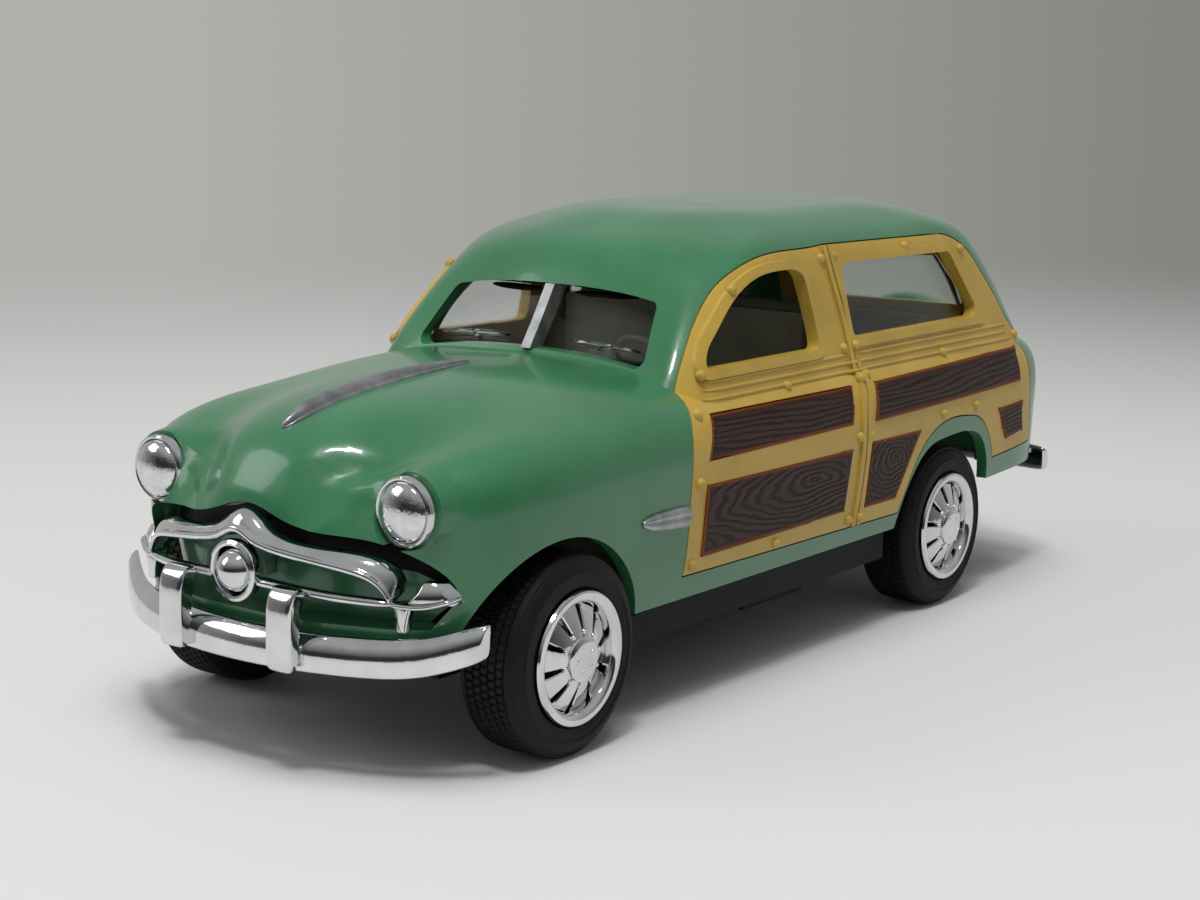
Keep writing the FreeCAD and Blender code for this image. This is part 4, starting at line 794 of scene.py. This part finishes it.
for index, (corners, look) in enumerate(fields):
    piece = fieldPiece(corners)
    bothSides(piece, "grainField%d" % (index + 1), "brown_print", "grain_fields", look=look)
print("grain fields")


# Insert trim: rivet domes, placed by (along, height), and three fine belt lines

rivets = ((5.9, 39.8), (8.3, 39.9), (7.9, 30.7), (10.0, 30.8), (9.1, 27.7), (11.0, 27.8),
          (7.8, 21.8), (9.9, 21.8), (6.7, 13.3), (8.7, 13.3), (-10.8, 37.9), (-17.8, 30.6),
          (-4.0, 28.2), (-20.4, 27.4), (-21.4, 21.3), (-21.9, 13.7), (-7.4, 13.3),
          (23.5, 40.0), (36.0, 39.0), (28.5, 28.3), (26.0, 22.0), (34.0, 22.0), (46.6, 28.6))
dome = turnedPiece([(-0.2, 0.56), (0.1, 0.54), (0.3, 0.42), (0.44, 0.22), (0.48, 0)],
                   (0, 0, 0), "X", steps=16)
copies = []
for y, z in rivets:
    spot, normal = castOn(("wood_side_left",), (besideCar, y, z), inwards)
    turn = normal.to_track_quat("X", "Z").to_matrix().to_4x4()
    copies.append(placedCopy(dome, Matrix.Translation(spot * mm) @ turn))
bpy.data.objects.remove(dome)
bothSides(joined(copies), "insertRivets", "tan_plastic")

belt = {"heights": (28.35, 29.15, 29.95), "front": -18.4, "rear": 45.5, "step": 1.3,
        "steps": 50, "slant": 0.5, "slantFoot": 28.4, "halfWidth": 0.2, "height": 0.16}
lines = []
for z in belt["heights"]:
    slant = (z - belt["slantFoot"]) * belt["slant"]
    path = [(besideCar, belt["front"] + step * belt["step"] + slant, z)
            for step in range(belt["steps"])]
    path = [start for start in path if start[1] < belt["rear"]]
    lines.append(surfaceStrip(("wood_side_left",), path, inwards, belt["halfWidth"],
                              belt["height"]))
bothSides(joined(lines), "beltLines", "tan_plastic")
print("insert trim")


# Screen trim: wipers moulded with the screen, its black edge, and dark visors at its top.
# Each path is (across, height).

screenTrim = {
    "blade": ((3.4, 32.3), (6, 32.35), (9, 32.25), (12.6, 31.95)),
    "arm": ((7.2, 31.7), (8.2, 32.2), (8.6, 32.5)),
    "edge": ((0.9, 31.05), (4, 31.05), (8, 31.05), (11, 31.05), (12.8, 31.05), (13.3, 31.5),
             (13.45, 33), (13.1, 35.2), (12.6, 36.6), (11.9, 37.1), (8, 37.3), (4, 37.35),
             (0.9, 37.35)),
    "visor": ((1.6, 36.75), (3.5, 36.75), (5.5, 36.75), (7.5, 36.75), (9.2, 36.75)),
    "wiperSize": (0.36, 0.5), "edgeSize": (0.3, 0.25), "visorSize": (0.42, 0.12),
}


def screenStrip(names, pathKey, sizeKey):
    path = [(x, aheadOfCar, z) for x, z in screenTrim[pathKey]]
    halfWidth, height = screenTrim[sizeKey]
    return surfaceStrip(names, path, rearwards, halfWidth, height)


wiper = [screenStrip(("windshield", "body_shell"), key, "wiperSize") for key in ("blade", "arm")]
bothSides(joined(wiper), "screenWiper", "clear_plastic")
bothSides(screenStrip(("windshield",), "edge", "edgeSize"), "screenGasket", "black_plastic")
bothSides(screenStrip(("windshield",), "visor", "visorSize"), "screenVisor", "black_plastic")
print("screen trim")


# Benches: an outline drawn across the car, with pleats across the cushion and rounded ends.
# The rear one's back is lowered, and so is the tub's block behind it.

bench = {"half": 14.6, "pleat": 0.14, "pleats": 14, "pleatSteps": 6, "pleatsAhead": 12,
         "endLength": 0.8, "endDrop": 0.9, "backFoot": 28, "rearLower": 3.4,
         "frontAlong": -5.0, "rearAlong": 20.0}
benchOutline = ((0.3, 11.0), (-0.35, 14.0), (-0.45, 25.0), (0.2, 26.4), (2.0, 26.9), (9.0, 26.5),
                (11.2, 26.6), (11.9, 28.5), (12.3, 33.4), (13.2, 34.6), (14.6, 34.7),
                (15.6, 34.0), (15.8, 30.0), (15.8, 12.0))  # (rearwards, height)
tubBack = {"across": 16, "along": (25, 36), "foot": 30}


def makeBench(along, lower):
    rows = []
    steps = bench["pleats"] * bench["pleatSteps"]
    for step in range(steps + 1):
        x = -bench["half"] + 2 * bench["half"] * step / steps
        ripple = bench["pleat"] * abs(math.sin(math.pi * step / bench["pleatSteps"]))
        inset = min(1.0, (bench["half"] - abs(x)) / bench["endLength"])
        drop = bench["endDrop"] * (1 - math.sqrt(max(0.0, 1 - (1 - inset) ** 2)))
        rows.append([(x, along + y + (drop - ripple if y < bench["pleatsAhead"] else 0),
                      z - drop + ripple - (lower if z > bench["backFoot"] else 0))
                     for y, z in benchOutline])
    return barPiece(rows)


frontBench = makeBench(bench["frontAlong"], 0.0)
finishPiece(frontBench, "frontBench", "cream_plastic", angle=50)
rearBench = makeBench(bench["rearAlong"], bench["rearLower"])
finishPiece(rearBench, "rearBench", "cream_plastic", angle=50)
tub = mergedCopy("interior_tub")
editPoints(tub, lambda spot: (abs(spot.x) < tubBack["across"] and spot.z > tubBack["foot"]
                              and tubBack["along"][0] < spot.y < tubBack["along"][1]))
bpy.ops.transform.translate(value=(0, 0, -bench["rearLower"] * mm))
leaveEdit()
finishPiece(tub, "interiorTub", "cream_plastic", ("interior_tub",), angle=32)

# Steering wheel: a rim, a bar of two spokes, a hub and a column, made flat and then tilted
steering = {"radius": 3, "thickness": 0.36, "spokeReach": 2.9, "spokeTip": 0.22,
            "spokeMiddle": 0.45, "spokeFlatness": 0.6, "columnRadius": 0.5,
            "columnLength": 6.5, "place": (7.6, -10.6, 30), "tilt": -55}
bpy.ops.object.select_all(action="DESELECT")
bpy.ops.mesh.primitive_torus_add(major_radius=steering["radius"] * mm,
                                 minor_radius=steering["thickness"] * mm,
                                 major_segments=48, minor_segments=12)
rim = bpy.context.object
standUp = Matrix.Rotation(-math.pi / 2, 4, "Y")
hub = turnedPiece([(0, 0.9), (0.3, 0.8), (0.45, 0)], (0, 0, 0), "X", steps=24)
hub.data.transform(standUp)
spokeStops = ((-steering["spokeReach"], steering["spokeTip"]), (0, steering["spokeMiddle"]),
              (steering["spokeReach"], steering["spokeTip"]))
spokes = barPiece([[(x, across * half, up * half * steering["spokeFlatness"])
                    for across, up in ((-1, -1), (1, -1), (1, 1), (-1, 1))]
                   for x, half in spokeStops])
column = turnedPiece([(0, 0), (0, steering["columnRadius"]),
                      (-steering["columnLength"], steering["columnRadius"]),
                      (-steering["columnLength"], 0)], (0, 0, 0), "X", steps=16)
column.data.transform(standUp)
steeringPiece = joined([rim, hub, column, spokes])
steeringPiece.data.transform(Matrix.Translation([length * mm for length in steering["place"]])
                             @ Matrix.Rotation(math.radians(steering["tilt"]), 4, "X"))
finishPiece(steeringPiece, "steeringWheelRim", "cream_plastic", ("steering_wheel",))
print("cabin")


# Tail: a spare wheel cover with a plated cap, and tail lamps

tail = {"cover": (0, 55.33, 22.6), "lamp": (17.2, 51.74, 24.5)}
cover = turnedPiece([(0.0, 0), (0.0, 8.6), (0.4, 8.9), (2.4, 9.0), (3.3, 8.85), (3.9, 8.3),
                     (4.15, 7.4), (4.1, 6.4), (3.85, 6.15), (3.85, 5.7), (4.05, 5.4),
                     (4.15, 3.0), (4.15, 0)], tail["cover"], "Y", steps=96)
finishPiece(cover, "spareCover", "green_enamel", ("spare_wheel_cover",))
cap = turnedPiece([(4.1, 2.5), (4.3, 2.5), (4.5, 2.2), (4.55, 1.7), (4.9, 1.4), (5.2, 0.7),
                   (5.25, 0)], tail["cover"], "Y", steps=48)
finishPiece(cap, "spareHubCap", "plated_plastic")
lampLens = turnedPiece([(0.0, 0), (0.0, 1.28), (1.4, 1.26), (2.1, 1.05), (2.5, 0.75),
                        (2.75, 0.3), (2.8, 0)], tail["lamp"], "Y", steps=36)
bothSides(lampLens, "tailLampLens", "red_plastic", "tail_lamp")
print("tail")


# Stage, in metres: a pale floor that melts into a grey backdrop, and is clear from below

stage = {"floorSize": 1.6, "floor": "#d9d9d8", "fadeFrom": 0.10, "fadeTo": 0.5,
         "backdropLeft": "#b1b0ad", "backdropRight": "#848581", "viewRight": (0.809, 0.588, 0),
         "roomTone": "#303132", "ceiling": "#a6a7a8", "towardCamera": (0.588, -0.809, 0),
         "nearFrom": -0.5, "nearTo": 0.5, "ceilingFrom": 0.2, "ceilingTo": 0.7,
         "rightFrom": -0.2, "rightTo": 0.25, "ambient": 0.30, "aim": (0, 0, 0.02)}
bpy.ops.object.select_all(action="DESELECT")
bpy.ops.mesh.primitive_plane_add(size=stage["floorSize"])
floor = bpy.context.object
floor.name = "floor"

# White emulsion on a flat board: plain and dull, so that only the shadow shows on it
floorPaint, tree, shader = newMaterial("whiteFloorPaint", Base_Color=stage["floor"],
                                       Roughness=0.6, Specular_IOR_Level=0.25)
place = addNode(tree, "ShaderNodeTexCoord")
reach = addNode(tree, "ShaderNodeVectorMath", {"operation": "LENGTH"}, {0: (place, "Object")})
fade = addNode(tree, "ShaderNodeMapRange", {"From Min": stage["fadeFrom"],
                                            "From Max": stage["fadeTo"],
                                            "interpolation_type": "SMOOTHSTEP"},
               {"Value": (reach, "Value")})
clear = addNode(tree, "ShaderNodeBsdfTransparent")
fromBelow = addNode(tree, "ShaderNodeNewGeometry")
gone = addNode(tree, "ShaderNodeMath", {"operation": "MAXIMUM"},
               {0: (fade, "Result"), 1: (fromBelow, "Backfacing")})
melt = addNode(tree, "ShaderNodeMixShader", {}, {0: (gone, 0), 1: (shader, "BSDF"),
                                                2: (clear, "BSDF")})
tree.links.new(melt.outputs["Shader"], tree.nodes["Material Output"].inputs["Surface"])
setLook(floor, floorPaint)

# World: plain light on the object, a room with a pale ceiling for what mirrors it, and the
# backdrop for the camera and through glass
world = bpy.context.scene.world or bpy.data.worlds.new("studio")
bpy.context.scene.world = world
world.use_nodes = True
tree = world.node_tree
tree.nodes.clear()
light = addNode(tree, "ShaderNodeBackground", {"Color": toLinear("#ffffff"),
                                               "Strength": stage["ambient"]})
direction = addNode(tree, "ShaderNodeTexCoord")
axes = addNode(tree, "ShaderNodeSeparateXYZ", {}, {0: (direction, "Generated")})
facing = addNode(tree, "ShaderNodeVectorMath", {"operation": "DOT_PRODUCT",
                                                1: stage["towardCamera"]},
                 {0: (direction, "Generated")})
nearSide = addNode(tree, "ShaderNodeMapRange", {"From Min": stage["nearFrom"],
                                                "From Max": stage["nearTo"]},
                   {"Value": (facing, "Value")})
around = addNode(tree, "ShaderNodeMix", {"data_type": "RGBA",
                                         6: toLinear(stage["backdropLeft"]),
                                         7: toLinear(stage["roomTone"])},
                 {0: (nearSide, "Result")})
overhead = addNode(tree, "ShaderNodeMapRange", {"From Min": stage["ceilingFrom"],
                                                "From Max": stage["ceilingTo"]},
                   {"Value": (axes, "Z")})
room = addNode(tree, "ShaderNodeMix", {"data_type": "RGBA", 7: toLinear(stage["ceiling"])},
               {0: (overhead, "Result"), 6: (around, 2)})
mirrored = addNode(tree, "ShaderNodeBackground", {}, {"Color": (room, 2)})
aside = addNode(tree, "ShaderNodeVectorMath", {"operation": "DOT_PRODUCT",
                                               1: stage["viewRight"]},
                {0: (direction, "Generated")})
across = addNode(tree, "ShaderNodeMapRange", {"From Min": stage["rightFrom"],
                                              "From Max": stage["rightTo"]},
                 {"Value": (aside, "Value")})
backdrop = addNode(tree, "ShaderNodeMix", {"data_type": "RGBA",
                                           6: toLinear(stage["backdropLeft"]),
                                           7: toLinear(stage["backdropRight"])},
                   {0: (across, "Result")})
seen = addNode(tree, "ShaderNodeBackground", {}, {"Color": (backdrop, 2)})
ray = addNode(tree, "ShaderNodeLightPath")
shiny = addNode(tree, "ShaderNodeMixShader", {}, {0: (ray, "Is Glossy Ray"),
                                                 1: (light, "Background"),
                                                 2: (mirrored, "Background")})
through = addNode(tree, "ShaderNodeMath", {"operation": "MAXIMUM"},
                  {0: (ray, "Is Camera Ray"), 1: (ray, "Is Transmission Ray")})
pick = addNode(tree, "ShaderNodeMixShader", {}, {0: (through, 0), 1: (shiny, "Shader"),
                                                2: (seen, "Background")})
addNode(tree, "ShaderNodeOutputWorld", {}, {"Surface": (pick, "Shader")})

# The softbox is left out of reflections; the small sparkle gives the enamel its highlights
lamps = {
    "keySoftbox": {"place": (0.06, -0.10, 0.60), "power": 2.0, "size": 0.34, "mirrored": False},
    "sparkle": {"place": (0.10, -0.21, 0.52), "power": 0.8, "size": 0.07, "mirrored": True},
    "sideFill": {"place": (-0.40, -0.35, 0.35), "power": 0.5, "size": 0.25, "mirrored": True},
}
for name, spec in lamps.items():
    lampData = bpy.data.lights.new(name, "AREA")
    lampData.energy = spec["power"]
    lampData.shape = "RECTANGLE"
    lampData.size = spec["size"]
    lampData.size_y = spec["size"]
    lamp = bpy.data.objects.new(name, lampData)
    lamp.location = spec["place"]
    aim = Vector(stage["aim"]) - Vector(spec["place"])
    lamp.rotation_euler = aim.to_track_quat("-Z", "Y").to_euler()
    lamp.visible_glossy = spec["mirrored"]
    bpy.context.scene.collection.objects.link(lamp)

# Camera, solved from the photo: angles in degrees, lens and place in mm
view = {"azimuth": 36.063, "elevation": 10.301, "roll": 1.075, "lens": 65.921, "sensor": 36,
        "place": (129.765, -185.763, 59.98), "clip": (0.01, 20)}
azimuth, elevation, roll = [math.radians(view[key]) for key in ("azimuth", "elevation", "roll")]
back = Vector((math.sin(azimuth) * math.cos(elevation), -math.cos(azimuth) * math.cos(elevation),
               math.sin(elevation)))
right = Vector((math.cos(azimuth), math.sin(azimuth), 0))
up = back.cross(right)
rolledRight = right * math.cos(roll) + up * math.sin(roll)
rolledUp = up * math.cos(roll) - right * math.sin(roll)
cameraData = bpy.data.cameras.new("camera")
cameraData.sensor_width = view["sensor"]
cameraData.lens = view["lens"]
cameraData.clip_start, cameraData.clip_end = view["clip"]
camera = bpy.data.objects.new("camera", cameraData)
camera.matrix_world = Matrix((rolledRight, rolledUp, back)).transposed().to_4x4()
camera.location = [length * mm for length in view["place"]]
bpy.context.scene.collection.objects.link(camera)
bpy.context.scene.camera = camera
bpy.context.scene.view_settings.view_transform = "Standard"
print("stage, light and camera")
